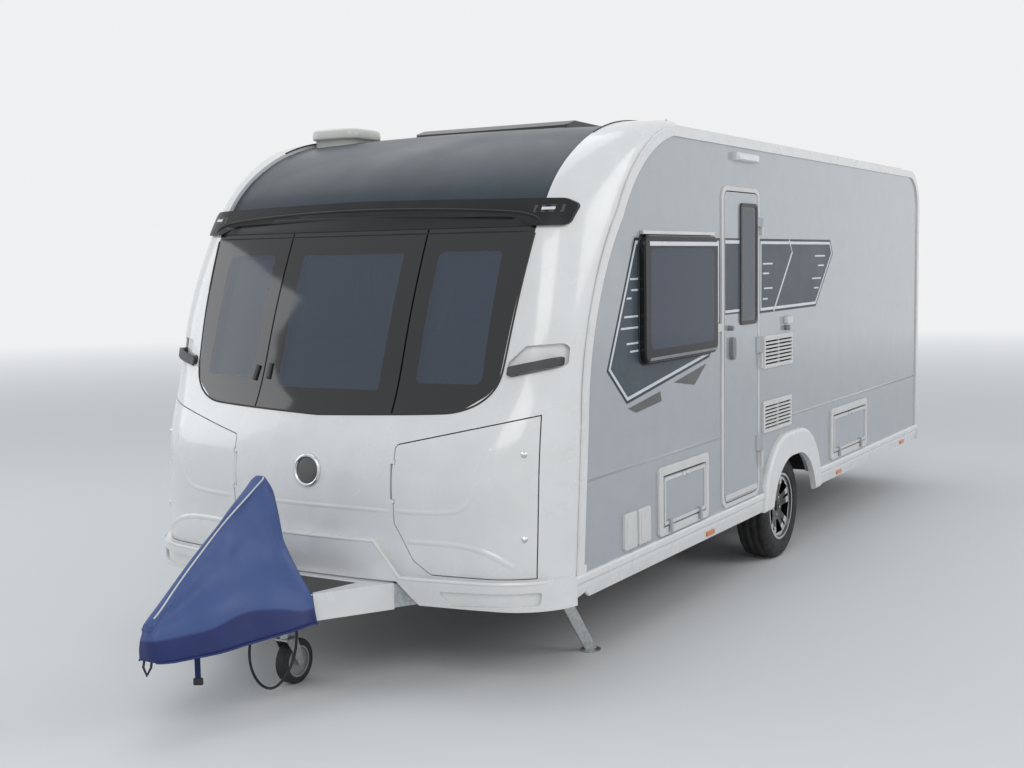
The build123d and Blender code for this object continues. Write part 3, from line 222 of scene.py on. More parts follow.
def tree_of(*names):
    """Search tree over some pieces' faces."""
    verts, faces = [], []
    for name in names:
        data = nodes[name].data
        start = len(verts)
        verts += [v.co.copy() for v in data.vertices]
        faces += [[start + i for i in p.vertices] for p in data.polygons]
    return BVHTree.FromPolygons(verts, faces)


FRONT_NODES = ("front_panel", "front_windows", "front_roof_panel", "brow", "locker_door_left",
               "locker_door_right")
front_tree = tree_of(*FRONT_NODES)
bumper_tree = tree_of("front_bumper")


def laid(tree, start, way, lift):
    """Where a ray first meets the pieces, moved out by the lift, or None, and the normal there."""
    hit, normal, _, _ = tree.ray_cast(Vector(start), Vector(way))
    if hit is None:
        return None, -Vector(way)
    if normal.dot(Vector(way)) > 0:
        normal = -normal
    return hit + normal * lift, normal


def on_front(x, z, lift=0.0, tree=front_tree):
    """Point and normal on the front, seen along the caravan."""
    return laid(tree, (x, -9, z), (0, 1, 0), lift)


def dense(path, step):
    """Points along straight runs, no further apart than a step."""
    points = []
    for (a0, a1), (b0, b1) in zip(path, path[1:]):
        count = max(1, round(hypot(b0 - a0, b1 - a1) / step))
        points += [(a0 + (b0 - a0) * k / count, a1 + (b1 - a1) * k / count) for k in range(count)]
    return points + [path[-1]]


def smooth_path(path, rounds=3):
    """Corner-cut copy of a path of points that keeps its ends."""
    for _ in range(rounds):
        cut = [path[0]]
        for a, b in zip(path, path[1:]):
            cut.append(tuple(p * 0.75 + q * 0.25 for p, q in zip(a, b)))
            cut.append(tuple(p * 0.25 + q * 0.75 for p, q in zip(a, b)))
        path = cut + [path[-1]]
    return path


RIDGE_ACROSS = (-0.5, -0.36, -0.2, 0.0, 0.2, 0.36, 0.5)


def ridge(name, path, width, height, material, body="root", tree=front_tree):
    """Soft moulded ridge with tapered ends that follows (x, z) points on the front."""
    places = [on_front(x, z, 0, tree) for x, z in dense(path, 0.02)]
    places = [(hit, normal) for hit, normal in places if hit is not None]
    last = len(places) - 1
    verts = []
    for k, (hit, normal) in enumerate(places):
        side = (places[min(last, k + 1)][0] - places[max(0, k - 1)][0]).cross(normal).normalized()
        end = min(1.0, k / 4, (last - k) / 4)
        for u in RIDGE_ACROSS:
            rise = height * end * cos(pi * u) ** 2 - 0.0012 * abs(u) * 2 + 0.0003
            verts.append(hit + side * (u * width) + normal * rise)
    return from_bmesh(name, bmesh_of(verts, strips(len(places), len(RIDGE_ACROSS))), material, body)


def patch(name, outline, lift, material, step=0.04):
    """Thin film over an (x, z) outline, cut up in steps and laid on the front."""
    bm = bmesh_of([(x, 0, z) for x, z in outline], [range(len(outline))])
    for axis, values in zip((0, 2), zip(*outline)):
        low, high = min(values), max(values)
        for k in range(1, int((high - low) / step) + 1):
            spot, normal = [0, 0, 0], [0, 0, 0]
            spot[axis], normal[axis] = low + k * step, 1
            whole = bm.verts[:] + bm.edges[:] + bm.faces[:]
            bmesh.ops.bisect_plane(bm, geom=whole, plane_co=spot, plane_no=normal)
    last = None
    for v in bm.verts:
        hit, _ = on_front(v.co.x, v.co.z, lift)
        v.co = hit if hit is not None else (last or v.co)
        last = v.co.copy()
    return from_bmesh(name, bm, material)


# Materials

def wire(tree, kind, inputs, out=0, **settings):
    """Output of a new node, whose inputs, by name or number, are set to values or linked to sockets."""
    node = tree.nodes.new("ShaderNode" + kind)
    for key, value in settings.items():
        setattr(node, key, value)
    for socket, value in inputs.items():
        if isinstance(value, bpy.types.NodeSocket):
            tree.links.new(value, node.inputs[socket])
        else:
            node.inputs[socket].default_value = value
    return node.outputs[out]


class Maker:
    """Small helper that builds one procedural material."""

    def __init__(self, name, colour, rough=0.5, metal=0.0, coat=0.0, coat_rough=0.05, spec=0.5):
        self.mat = bpy.data.materials.new(name)
        self.mat.use_nodes = True
        self.tree = self.mat.node_tree
        self.shader = self.tree.nodes["Principled BSDF"]
        self.set("Base Color", (*colour, 1))
        self.set("Roughness", rough)
        self.set("Metallic", metal)
        self.set("Coat Weight", coat)
        self.set("Coat Roughness", coat_rough)
        self.set("Specular IOR Level", spec)
        self.place = self.tree.nodes.new("ShaderNodeTexCoord").outputs["Object"]

    def set(self, socket, value):
        """Set one of the shader's inputs."""
        self.shader.inputs[socket].default_value = value

    def link(self, out, socket):
        """Feed one of the shader's inputs."""
        self.tree.links.new(out, self.shader.inputs[socket])

    def node(self, kind, inputs, out=0, **settings):
        """Output of a new node of this material."""
        return wire(self.tree, kind, inputs, out, **settings)

    def calc(self, operation, a, b=0.0):
        """One sum on two sockets or numbers."""
        return self.node("Math", {0: a, 1: b}, operation=operation)

    def noise(self, scale, detail, stretch=(1, 1, 1)):
        """Noise over the object's own coordinates."""
        moved = self.node("Mapping", {"Vector": self.place, "Scale": stretch})
        return self.node("TexNoise", {"Vector": moved, "Scale": scale, "Detail": detail}, "Fac")

    def between(self, value, low, high, to_low=0.0, to_high=1.0):
        """A value mapped from one range to another, held at its ends."""
        ends = {"From Min": low, "From Max": high, "To Min": to_low, "To Max": to_high}
        return self.node("MapRange", {"Value": value, **ends}, "Result")

    def mix(self, factor, a, b):
        """Colour between two colours or sockets."""
        a, b = ((*value, 1) if isinstance(value, tuple) else value for value in (a, b))
        return self.node("Mix", {"Factor": factor, 6: a, 7: b}, 2, data_type="RGBA")

    def bump(self, height, strength, distance):
        """Surface relief from a height value."""
        relief = self.node("Bump", {"Height": height, "Strength": strength, "Distance": distance})
        self.link(relief, "Normal")

    def tint(self, factor, a, b):
        """Base colour between two colours or sockets."""
        self.link(self.mix(factor, a, b), "Base Color")

    def colours(self, value, dark, light, low=0.35, high=0.65):
        """Base colour that passes between two colours as a value passes between two numbers."""
        self.tint(self.between(value, low, high), dark, light)

    def gloss(self, noise, low, high):
        """Uneven roughness between two values."""
        self.link(self.between(noise, 0.3, 0.7, low, high), "Roughness")

    def split(self, vector, letter):
        """One coordinate of a vector."""
        return self.node("SeparateXYZ", {0: vector}, "XYZ".index(letter))

    def axis(self, letter):
        """One of the place's coordinates."""
        return self.split(self.place, letter)

    def facing(self, letter):
        """How far the surface faces along an axis, without its sign."""
        normal = self.tree.nodes.new("ShaderNodeTexCoord").outputs["Normal"]
        return self.calc("ABSOLUTE", self.split(normal, letter))

    def far(self, a, b):
        """Length of the vector (a, b)."""
        return self.calc("SQRT", self.calc("ADD", self.calc("MULTIPLY", a, a), self.calc("MULTIPLY", b, b)))

    def beyond(self, value, middle, half):
        """How far a value lies outside a range, or 0 inside."""
        away = self.calc("ABSOLUTE", self.calc("SUBTRACT", value, middle))
        return self.calc("MAXIMUM", self.calc("SUBTRACT", away, half))

    def inside(self, letters, areas):
        """1 inside any rounded rectangle: middle u, middle v, half u, half v, corner radius."""
        u, v = self.axis(letters[0]), self.axis(letters[1])
        blur = 0.0015
        total = None
        for cu, cv, hu, hv, r in areas:
            far = self.far(self.beyond(u, cu, hu - r), self.beyond(v, cv, hv - r))
            mask = self.between(far, r - blur, r + blur, 1.0, 0.0)
            total = mask if total is None else self.calc("MAXIMUM", total, mask)
        return total


def paint(name, dark, light, rough, coat=0.0, metal=0.0, peel=0.015, spec=0.5):
    """Painted or moulded gloss: slow colour variation, faint orange peel and uneven gloss."""
    m = Maker(name, light, rough, metal, coat, spec=spec)
    m.colours(m.noise(7.0, 4), dark, light)
    m.gloss(m.noise(2.6, 5), rough * 0.85, rough * 1.2)
    m.bump(m.noise(420, 1), peel, 0.001)
    return m


def plastic(name, dark, light, rough, grain=0.25, scale=900):
    """Moulded plastic with a fine grain."""
    m = Maker(name, light, rough)
    m.colours(m.noise(11, 4), dark, light)
    m.bump(m.noise(scale, 2), grain, 0.0006)
    return m


def galvanised():
    """Zinc coat with large soft crystals and dull patches."""
    m = Maker("galvanised_steel", (0.55, 0.57, 0.58), 0.4, 0.85)
    cells = m.node("TexVoronoi", {"Vector": m.place, "Scale": 70}, "Distance")
    m.colours(cells, (0.60, 0.62, 0.63), (0.40, 0.42, 0.43), 0.0, 0.9)
    m.gloss(m.noise(24, 5), 0.32, 0.58)
    m.bump(m.noise(160, 3), 0.15, 0.001)
    return m


white = paint("white_gelcoat", (0.765, 0.765, 0.755), (0.80, 0.80, 0.795), 0.26, coat=0.55)
silver = paint("silver_side_paint", (0.385, 0.412, 0.432), (0.405, 0.432, 0.452), 0.22, coat=0.8, metal=0.15)
roof_blue = paint("roof_slate_paint", (0.036, 0.048, 0.062), (0.042, 0.056, 0.072), 0.36, coat=0.05,
                  spec=0.22)
brow_black = paint("brow_black_gloss", (0.010, 0.011, 0.012), (0.014, 0.015, 0.016), 0.34, coat=0.05,
                   spec=0.25)
brow_board = paint("brow_board_satin", (0.016, 0.017, 0.017), (0.020, 0.021, 0.021), 0.38, spec=0.3)
# Painted shadow: near-black colour of the film under the brow's lip and of the two lower beads
brow_shadow = paint("brow_painted_shadow", (0.002, 0.002, 0.002), (0.004, 0.004, 0.004), 0.7)
frame_white = plastic("frame_plastic", (0.66, 0.66, 0.645), (0.70, 0.70, 0.69), 0.42)
grey_plastic = plastic("grey_plastic", (0.045, 0.047, 0.05), (0.06, 0.062, 0.066), 0.48, 0.4)
mid_grey = plastic("mid_grey_plastic", (0.20, 0.21, 0.22), (0.24, 0.25, 0.26), 0.45)
black_rubber = plastic("black_rubber", (0.012, 0.012, 0.013), (0.022, 0.022, 0.023), 0.62, 0.5, 500)
zinc = galvanised()
cast_black = paint("cast_black_paint", (0.02, 0.02, 0.022), (0.035, 0.035, 0.037), 0.45, peel=0.2)
chrome = paint("bright_metal", (0.62, 0.63, 0.64), (0.70, 0.71, 0.72), 0.18, metal=1.0)
red_lens = paint("red_lens", (0.30, 0.008, 0.008), (0.42, 0.015, 0.012), 0.12, coat=1.0)
amber_lens = paint("amber_lens", (0.62, 0.15, 0.004), (0.75, 0.20, 0.008), 0.2, coat=0.6)
clear_lens = paint("clear_lens", (0.68, 0.70, 0.72), (0.82, 0.83, 0.84), 0.12, coat=1.0)


def paint_node(node, material):
    """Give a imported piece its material."""
    nodes[node].data.materials.clear()
    nodes[node].data.materials.append(material.mat)


def wood_material():
    """Pale veneer with long grain."""
    m = Maker("furniture_veneer", (0.42, 0.30, 0.20), 0.42)
    grain = m.noise(9, 6, (1, 1, 14))
    m.colours(grain, (0.34, 0.235, 0.15), (0.50, 0.37, 0.25))
    m.bump(grain, 0.1, 0.001)
    return m


FLOOR_TOP = 0.525
WHEEL_BOX_X = 0.805


def underbody_material():
    """Floor: dark coat below and in the wheel boxes, vinyl above."""
    m = Maker("floor_and_wheel_boxes", (0.03, 0.03, 0.03), 0.7)
    top = m.between(m.axis("Z"), FLOOR_TOP - 0.0005, FLOOR_TOP + 0.0005)
    wheel_side = m.between(m.calc("ABSOLUTE", m.axis("X")), WHEEL_BOX_X - 0.005, WHEEL_BOX_X + 0.005)
    inside = m.calc("MULTIPLY", top, m.calc("SUBTRACT", 1.0, wheel_side))
    m.tint(inside, (0.022, 0.022, 0.023), (0.30, 0.24, 0.18))
    m.bump(m.noise(90, 4), 0.3, 0.002)
    return m


def glass_material(name, letters, areas, clear_alpha, coat=0.3, spec=0.4):
    """Tinted acrylic pane: clear areas inside a printed black border."""
    m = Maker(name, (0.018, 0.02, 0.022), 0.06, coat=coat, spec=spec)
    mask = m.inside(letters, areas)
    m.tint(mask, (0.012, 0.013, 0.013), (0.055, 0.072, 0.105))
    m.link(m.between(mask, 0.0, 1.0, 1.0, clear_alpha), "Alpha")
    m.gloss(m.noise(3.0, 3), 0.05, 0.09)
    m.mat.surface_render_method = "BLENDED"
    return m


# Clear areas of the panes, in metres: middle u, middle v, half u, half v, corner radius
FRONT_CLEAR = [(0.0, 1.58, 0.29, 0.30, 0.012), (0.628, 1.60, 0.155, 0.285, 0.03),
               (-0.628, 1.60, 0.155, 0.285, 0.03)]
DOOR_CLEAR = [(-0.75 + AXLE_Y, 1.80, 0.085, 0.29, 0.02)]
# Side windows: side, y from and to, z from and to
SIDE_WINDOWS = [(-1, -2.150, -1.255, 1.350, 1.950), (-1, -0.700, 0.300, 1.440, 1.950),
                (-1, 1.500, 2.500, 1.400, 1.950), (1, -2.150, -1.255, 1.350, 1.950)]
PANE_BORDER = 0.062


def side_clear():
    """Clear areas of the side panes; opposite panes share one."""
    areas = []
    for _, y0, y1, z0, z1 in SIDE_WINDOWS[:3]:
        areas.append(((y0 + y1) / 2 + AXLE_Y, (z0 + z1) / 2, (y1 - y0) / 2 - PANE_BORDER,
                      (z1 - z0) / 2 - PANE_BORDER, 0.04))
    return areas


RIM_INSET = 0.025


def wheel_material():
    """Alloy wheel: bright cut faces on the spokes, black paint elsewhere."""
    m = Maker("alloy_wheel", (0.02, 0.02, 0.02), 0.3, 0.6, coat=0.6)
    face = tyre_high.x - RIM_INSET
    outer = m.between(m.calc("ABSOLUTE", m.axis("X")), face - 0.0005, face + 0.0005)
    flat = m.between(m.facing("X"), 0.86, 0.93)
    cut = m.calc("MULTIPLY", outer, flat)
    m.tint(cut, (0.016, 0.016, 0.017), (0.60, 0.61, 0.62))
    m.link(m.between(cut, 0, 1, 0.32, 0.2), "Roughness")
    m.bump(m.noise(300, 2), 0.04, 0.001)
    return m


HUB_R = 0.0695


def jockey_wheel_material():
    """Rubber tread on a pale plastic hub."""
    m = Maker("jockey_wheel_rubber", (0.03, 0.03, 0.03), 0.6)
    low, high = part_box("jockey_wheel")
    middle = (low + high) / 2
    r = m.far(m.calc("SUBTRACT", m.axis("Y"), middle.y), m.calc("SUBTRACT", m.axis("Z"), middle.z))
    m.colours(r, (0.34, 0.34, 0.33), (0.022, 0.022, 0.023), HUB_R - 0.0005, HUB_R + 0.0005)
    m.bump(m.noise(120, 4), 0.3, 0.001)
    return m


def marker_material():
    """Lamp housings: pale over the door, amber lenses low on the sides."""
    m = Maker("marker_lamp_plastic", (0.68, 0.18, 0.006), 0.22, coat=0.6)
    m.colours(m.axis("Z"), (0.68, 0.18, 0.006), (0.70, 0.70, 0.69), 1.2, 1.3)
    return m


wood = wood_material()
front_glass = glass_material("front_window_acrylic", "XZ", FRONT_CLEAR, 0.72)
side_glass = glass_material("side_window_acrylic", "YZ", side_clear(), 0.86, 0.05, 0.22)
door_glass = glass_material("door_window_acrylic", "YZ", DOOR_CLEAR, 0.8)
roof_glass = plastic("rooflight_acrylic", (0.022, 0.023, 0.023), (0.030, 0.031, 0.031), 0.32, 0.05)
dome = paint("pale_dome", (0.62, 0.61, 0.57), (0.70, 0.69, 0.65), 0.3, coat=0.3)
NODE_MATERIALS = {
    white: ("front_panel", "roof", "rear_panel", "front_bumper", "rear_bumper", "locker_door_left",
            "locker_door_right", "edge_rails", "side_skirts", "wheel_arches", "drawbar_fairing"),
    silver: ("side_wall_left", "side_wall_right", "entrance_door", "service_door", "cassette_door"),
    roof_blue: ("front_roof_panel",), brow_black: ("brow",), front_glass: ("front_windows",),
    side_glass: ("side_windows",), door_glass: ("door_window",), roof_glass: ("large_rooflight",),
    dome: ("small_rooflight",), frame_white: ("door_frame", "service_frames", "wall_vents"),
    mid_grey: ("door_fittings",),
    grey_plastic: ("grab_handles", "handbrake_lever", "tow_plug", "lead_holders"),
    red_lens: ("rear_lamps",), marker_material(): ("marker_lamps",), underbody_material(): ("floor",),
    zinc: ("chassis_frame", "axle", "corner_steadies", "jockey_tube", "jockey_fork"),
    cast_black: ("coupling_head",), wheel_material(): ("wheel_left", "wheel_right"),
    jockey_wheel_material(): ("jockey_wheel",), wood: ("furniture",),
    black_rubber: ("tyre_left", "tyre_right", "tow_lead", "hitch_cover", "seat_cushions"),
}
for made, names in NODE_MATERIALS.items():
    for node_name in names:
        paint_node(node_name, made)


# Camera, floor and light

CAMERA_AT = (3.814, -7.807, 1.842)
CAMERA_YAW, CAMERA_PITCH, CAMERA_ROLL = 0.536, 0.092, -0.016
CAMERA_LENS = 47.08


def make_camera():
    """Camera at the photograph's place, turned, tipped and rolled as it is there."""
    data = bpy.data.cameras.new("camera")
    data.lens = CAMERA_LENS
    data.sensor_width = 36.0
    camera = new_object("camera", data)
    level = Vector((-sin(CAMERA_YAW), cos(CAMERA_YAW), 0))
    ahead = level * cos(CAMERA_PITCH) - Vector((0, 0, sin(CAMERA_PITCH)))
    right = ahead.cross(Vector((0, 0, 1))).normalized()
    up = right.cross(ahead)
    tipped_right = cos(CAMERA_ROLL) * right + sin(CAMERA_ROLL) * up
    tipped_up = cos(CAMERA_ROLL) * up - sin(CAMERA_ROLL) * right
    turn = Matrix((tipped_right, tipped_up, -ahead)).transposed()
    camera.matrix_world = Matrix.Translation(at(*CAMERA_AT)) @ turn.to_4x4()
    scene.camera = camera


BACKDROP = (0.86, 0.875, 0.89)
FLOOR_HALF = 60


def seen_rays(tree):
    """1 on camera, glossy and transmission rays, by which the backdrop is looked at."""
    path = tree.nodes.new("ShaderNodeLightPath").outputs
    total = path["Is Camera Ray"]
    for kind in ("Is Glossy Ray", "Is Transmission Ray"):
        total = wire(tree, "Math", {0: total, 1: path[kind]}, operation="MAXIMUM")
    return total


def make_floor():
    """Pale plain floor that passes into the backdrop's colour far away."""
    floor = Maker("pale_floor", (0.80, 0.80, 0.795), 0.8, spec=0.2)
    floor.bump(floor.noise(60, 3), 0.05, 0.002)
    tree = floor.tree
    far = floor.far(floor.axis("X"), floor.axis("Y"))
    blend = floor.calc("MULTIPLY", floor.between(far, 7.0, 26.0), seen_rays(tree))
    glow = floor.node("Emission", {"Color": (*BACKDROP, 1)})
    surface = floor.node("MixShader", {0: blend, 1: floor.shader.outputs[0], 2: glow})
    tree.links.new(surface, tree.nodes["Material Output"].inputs["Surface"])
    corners = [(x, y, 0) for x, y in oblong(-FLOOR_HALF, FLOOR_HALF, -FLOOR_HALF, FLOOR_HALF)]
    mesh = bpy.data.meshes.new("floor_stage")
    mesh.from_pydata(corners, [], [(0, 1, 2, 3)])
    mesh.materials.append(floor.mat)
    new_object("floor_stage", mesh)


def make_world():
    """Even pale surroundings, a little brighter low down, and paler still where they are seen."""
    world = bpy.data.worlds.new("studio")
    scene.world = world
    world.use_nodes = True
    tree = world.node_tree
    place = tree.nodes.new("ShaderNodeTexCoord").outputs["Generated"]
    height = wire(tree, "SeparateXYZ", {0: place}, "Z")
    ramp = tree.nodes.new("ShaderNodeValToRGB")
    ramp.color_ramp.elements[0].position = 0.0
    ramp.color_ramp.elements[0].color = (0.60, 0.605, 0.615, 1)
    ramp.color_ramp.elements[1].position = 0.75
    ramp.color_ramp.elements[1].color = (0.40, 0.44, 0.49, 1)
    tree.links.new(height, ramp.inputs[0])
    sides = {"Factor": seen_rays(tree), 6: ramp.outputs[0], 7: (*BACKDROP, 1)}
    seen = wire(tree, "Mix", sides, 2, data_type="RGBA")
    tree.links.new(seen, tree.nodes["Background"].inputs["Color"])


def lamp(name, place, target, size, power, colour=(1, 1, 1)):
    """Soft square lamp aimed at a point."""
    data = bpy.data.lights.new(name, "AREA")
    data.shape = "RECTANGLE"
    data.size, data.size_y = size
    data.energy = power
    data.color = colour
    obj = new_object(name, data)
    obj.location = place
    obj.rotation_mode = "QUATERNION"
    obj.rotation_quaternion = (Vector(target) - Vector(place)).to_track_quat("-Z", "Y")


make_camera()
make_floor()
make_world()
lamp("key", (4.5, -9.5, 7.5), (0, -2, 1), (5, 5), 250, (1.0, 0.985, 0.96))
lamp("side_fill", (9, 2, 6.0), (1, 0.5, 1), (7, 4), 200)
lamp("top", (-3, 1, 9), (0, 0, 1), (7, 8), 170, (0.95, 0.98, 1.0))
lamp("offside", (-8, -5, 4), (-1, -1, 1), (5, 4), 110, (0.95, 0.98, 1.0))

# Towing lead, on the same points as the drawing

LEAD_D = 0.012
LEAD_ROUTE = [
    (-0.050, -3.530, 0.330), (-0.050, -3.530, 0.262), (-0.046, -3.560, 0.184), (-0.020, -3.574, 0.106),
    (0.034, -3.578, 0.052), (0.098, -3.574, 0.046), (0.146, -3.552, 0.096), (0.172, -3.524, 0.168),
    (0.170, -3.495, 0.248), (0.170, -3.495, 0.330),
]


def towing_lead():
    """Electrical lead hanging from its gland and up to its parked plug."""
    curve, spline = curve_along("towing_lead", "NURBS", [at(*place) for place in LEAD_ROUTE], LEAD_D / 2, 4)
    spline.order_u = 3
    spline.use_endpoint_u = True
    spline.resolution_u = 16
    lead = dressed(new_object("towing_lead", curve), black_rubber, "root")
    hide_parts("tow_lead")


towing_lead()

# Hitch cover: y, then half width and height of the hem, the knee and the top
COVER_ROWS = [
    (-4.182, 0.044, 0.318, 0.036, 0.400, 0.018, 0.468),
    (-4.110, 0.084, 0.310, 0.064, 0.440, 0.020, 0.520),
    (-3.955, 0.145, 0.310, 0.112, 0.472, 0.020, 0.640),
    (-3.795, 0.205, 0.322, 0.150, 0.490, 0.022, 0.754),
    (-3.680, 0.250, 0.333, 0.182, 0.496, 0.026, 0.832),
    (-3.560, 0.290, 0.345, 0.244, 0.478, 0.034, 0.910),
    (-3.520, 0.294, 0.343, 0.266, 0.474, 0.038, 0.938),
    (-3.508, 0.292, 0.342, 0.270, 0.474, 0.038, 0.946),
    (-3.496, 0.262, 0.462, 0.240, 0.480, 0.036, 0.944),
    (-3.486, 0.240, 0.462, 0.214, 0.490, 0.034, 0.930),
    (-3.440, 0.172, 0.462, 0.112, 0.540, 0.028, 0.850),
    (-3.400, 0.140, 0.462, 0.080, 0.540, 0.024, 0.660),
]
# Rings along the cover and points from hem to ridge, and the height of the edge of the painted dark
# reflection low on the sides
COVER_STEPS = 88
COVER_ACROSS = 26
PAINTED_BAND_TOP = 0.560


def eased(values, t):
    """Value between the rows at a fractional row number, without kinks and never past either row."""
    k = min(int(t), len(values) - 2)
    u = t - k
    p0, p1, p2, p3 = (values[min(max(k + d, 0), len(values) - 1)] for d in (-1, 0, 1, 2))
    value = 0.5 * (2 * p1 + (p2 - p0) * u + (2 * p0 - 5 * p1 + 4 * p2 - p3) * u * u
                   + (3 * p1 - p0 - 3 * p2 + p3) * u ** 3)
    return min(max(value, min(p1, p2)), max(p1, p2))


def cover_half(row):
    """Half section of the cover from hem to ridge: (x, z) points, hanging slightly hollow."""
    _, foot, foot_z, knee, knee_z, top, top_z = row
    corners = [(foot, foot_z), ((foot + knee) / 2 + 0.004, (foot_z + knee_z) / 2), (knee, knee_z),
               (knee * 0.45 + top * 0.55, knee_z * 0.62 + top_z * 0.38),
               (knee * 0.21 + top * 0.79, knee_z * 0.3 + top_z * 0.7),
               (top + 0.006, top_z - 0.03), (top - 0.004, top_z - 0.006), (top * 0.45, top_z)]
    last = len(corners) - 1
    points = []
    for i in range(COVER_ACROSS + 1):
        t = last * i / COVER_ACROSS
        points.append(tuple(eased(values, t) for values in zip(*corners)))
    return points


def cover_fold(u, v, side):
    """Depth of the folds: u runs along the caravan from 0 in front to 1 behind, v from hem to ridge."""
    pull = sin(2 * pi * (u * 2.4 + v * 1.05 * side + 0.13)) * 0.0060
    crease = sin(2 * pi * (u * 6.1 - v * 1.7 + 0.4 * side)) * 0.0024
    sag = -0.012 * sin(pi * min(1.0, max(0.0, v))) * sin(pi * u)
    wave = 0.004 * sin(2 * pi * (u * 5.2 + 0.2 * side)) * (1 - v) ** 2
    return (pull + crease) * (0.35 + v * (1 - v) * 2.2) + sag + wave


def cover_rings():
    """Rings of the cover, each from the left hem over the ridge to the right hem."""
    rings = []
    for k in range(COVER_STEPS + 1):
        u = k / COVER_STEPS
        row = [eased(column, (len(COVER_ROWS) - 1) * u) for column in zip(*COVER_ROWS)]
        half = cover_half(row)
        ends = min(1.0, 8 * u + 0.2, 8 * (1 - u) + 0.2)
        ring = []
        for side, points in ((1, half), (-1, half[::-1])):
            for i, (x, z) in enumerate(points):
                v = (i if side > 0 else COVER_ACROSS - i) / COVER_ACROSS
                depth = cover_fold(u, v, side) * ends
                ring.append(at(side * max(0.004, x + depth), row[0], z - 0.2 * abs(depth)))
        rings.append(ring)
    return rings


def hitch_cover():
    """Sewn vinyl cover: two sides that meet in a ridge, closed in front and behind."""
    rings = cover_rings()
    n = len(rings[0])
    faces = strips(len(rings), n)
    for k in (0, COVER_STEPS):
        faces += [[k * n + i, k * n + i + 1, k * n + n - 2 - i, k * n + n - 1 - i] for i in range(n // 2 - 1)]
    bm = bmesh_of([point for ring in rings for point in ring], faces)
    bmesh.ops.remove_doubles(bm, verts=bm.verts, dist=0.0004)
    cover = from_bmesh("hitch_cover_cloth", bm, cover_material())
    thick = cover.modifiers.new("cloth_thickness", "SOLIDIFY")
    thick.thickness = 0.0016
    thick.offset = -1
    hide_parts("hitch_cover")
    # The pale tube along the front of the ridge is a painted highlight: it stands in for the reflection along
    # that edge
    seams = [("front_ridge_piping", [ring[n // 2 - 4] for ring in rings[4:56]], 0.0035, ridge_highlight_white),
             ("hem_binding_left", [ring[0] for ring in rings], 0.004, hem_navy),
             ("hem_binding_right", [ring[-1] for ring in rings], 0.004, hem_navy)]
    pieces = [tube(*seam, "root", "cover_vinyl") for seam in seams]


def cover_material():
    """Coated fabric: mid blue above, navy along the hem as a painted dark reflection, with a fine weave."""
    m = Maker("cover_vinyl_blue", (0.05, 0.11, 0.30), 0.42, coat=0.1, coat_rough=0.35, spec=0.35)
    # Painted dark reflection: the sides turn navy below a soft, wavy edge
    wave = m.calc("MULTIPLY", m.calc("SUBTRACT", m.noise(2.2, 1), 0.5), 0.16)
    edge = m.calc("ADD", m.calc("ADD", m.axis("Z"), wave), m.calc("MULTIPLY", m.axis("Y"), -0.045))
    painted_band = m.between(edge, PAINTED_BAND_TOP - 0.006, PAINTED_BAND_TOP + 0.006)
    mottle = m.between(m.noise(9, 5), 0.3, 0.7)
    upper = m.mix(mottle, (0.048, 0.088, 0.245), (0.056, 0.100, 0.270))
    lower = m.mix(mottle, (0.012, 0.024, 0.120), (0.015, 0.029, 0.135))
    m.tint(painted_band, lower, upper)
    m.gloss(m.noise(14, 4), 0.36, 0.50)
    weave = m.calc("MULTIPLY", m.noise(900, 1, (1, 0.2, 1)), m.noise(900, 1, (0.2, 1, 1)))
    relief = m.calc("ADD", m.calc("MULTIPLY", weave, 0.10), m.calc("MULTIPLY", m.noise(13, 3), 1.6))
    m.bump(relief, 0.30, 0.006)
    return m


# Pale colour of the ridge's painted highlight
ridge_highlight_white = plastic("cover_ridge_highlight", (0.62, 0.62, 0.60), (0.70, 0.70, 0.68), 0.5)
hem_navy = plastic("cover_hem", (0.012, 0.022, 0.12), (0.018, 0.03, 0.15), 0.5)
hitch_cover()

# Side graphics: plain colour block with pinstripes, in (y, z)

decal_dark = paint("decal_dark", (0.022, 0.030, 0.040), (0.028, 0.037, 0.048), 0.32, spec=0.3)
decal_slate = paint("decal_slate", (0.060, 0.076, 0.094), (0.068, 0.086, 0.106), 0.34, spec=0.25)
decal_line = paint("decal_line", (0.66, 0.69, 0.73), (0.72, 0.75, 0.78), 0.25, coat=0.5)
decal_grey = paint("decal_grey", (0.085, 0.085, 0.085), (0.10, 0.10, 0.10), 0.35, coat=0.1)
FRONT_BLOCK = [(-1.145, 1.942), (-2.189, 1.938), (-2.484, 1.342), (-2.282, 1.176), (-1.293, 1.324),
               (-1.145, 1.500)]
REAR_BLOCK = [(0.753, 1.942), (-0.550, 1.942), (-0.550, 1.520), (0.461, 1.524), (0.812, 1.853)]
DIVIDER = [(-0.052, 1.937), (0.006, 1.865), (-0.320, 1.524)]
FILM = 0.0007


def shrunk(outline, amount):
    """Outline moved inwards, each corner on the meeting of its moved edges."""
    turn = sum(a[0] * b[1] - b[0] * a[1] for a, b in zip(outline, outline[1:] + outline[:1]))
    sign = 1 if turn > 0 else -1
    moved = []
    for k, corner in enumerate(outline):
        before, after = outline[k - 1], outline[(k + 1) % len(outline)]
        d0 = Vector((corner[0] - before[0], corner[1] - before[1])).normalized()
        d1 = Vector((after[0] - corner[0], after[1] - corner[1])).normalized()
        n0, n1 = Vector((-d0.y, d0.x)) * sign, Vector((-d1.y, d1.x)) * sign
        half = (n0 + n1).normalized()
        reach = max(0.25, half.dot(n0))
        moved.append((corner[0] + half.x * amount / reach, corner[1] + half.y * amount / reach))
    return moved


def films(name, outline, layers, place):
    """Layers of film, each smaller and a little prouder than the one below."""
    for k, (shrink, material) in enumerate(layers):
        extruded(f"{name}_{k}", shrunk(outline, shrink), k * FILM, (k + 1) * FILM, place, material)


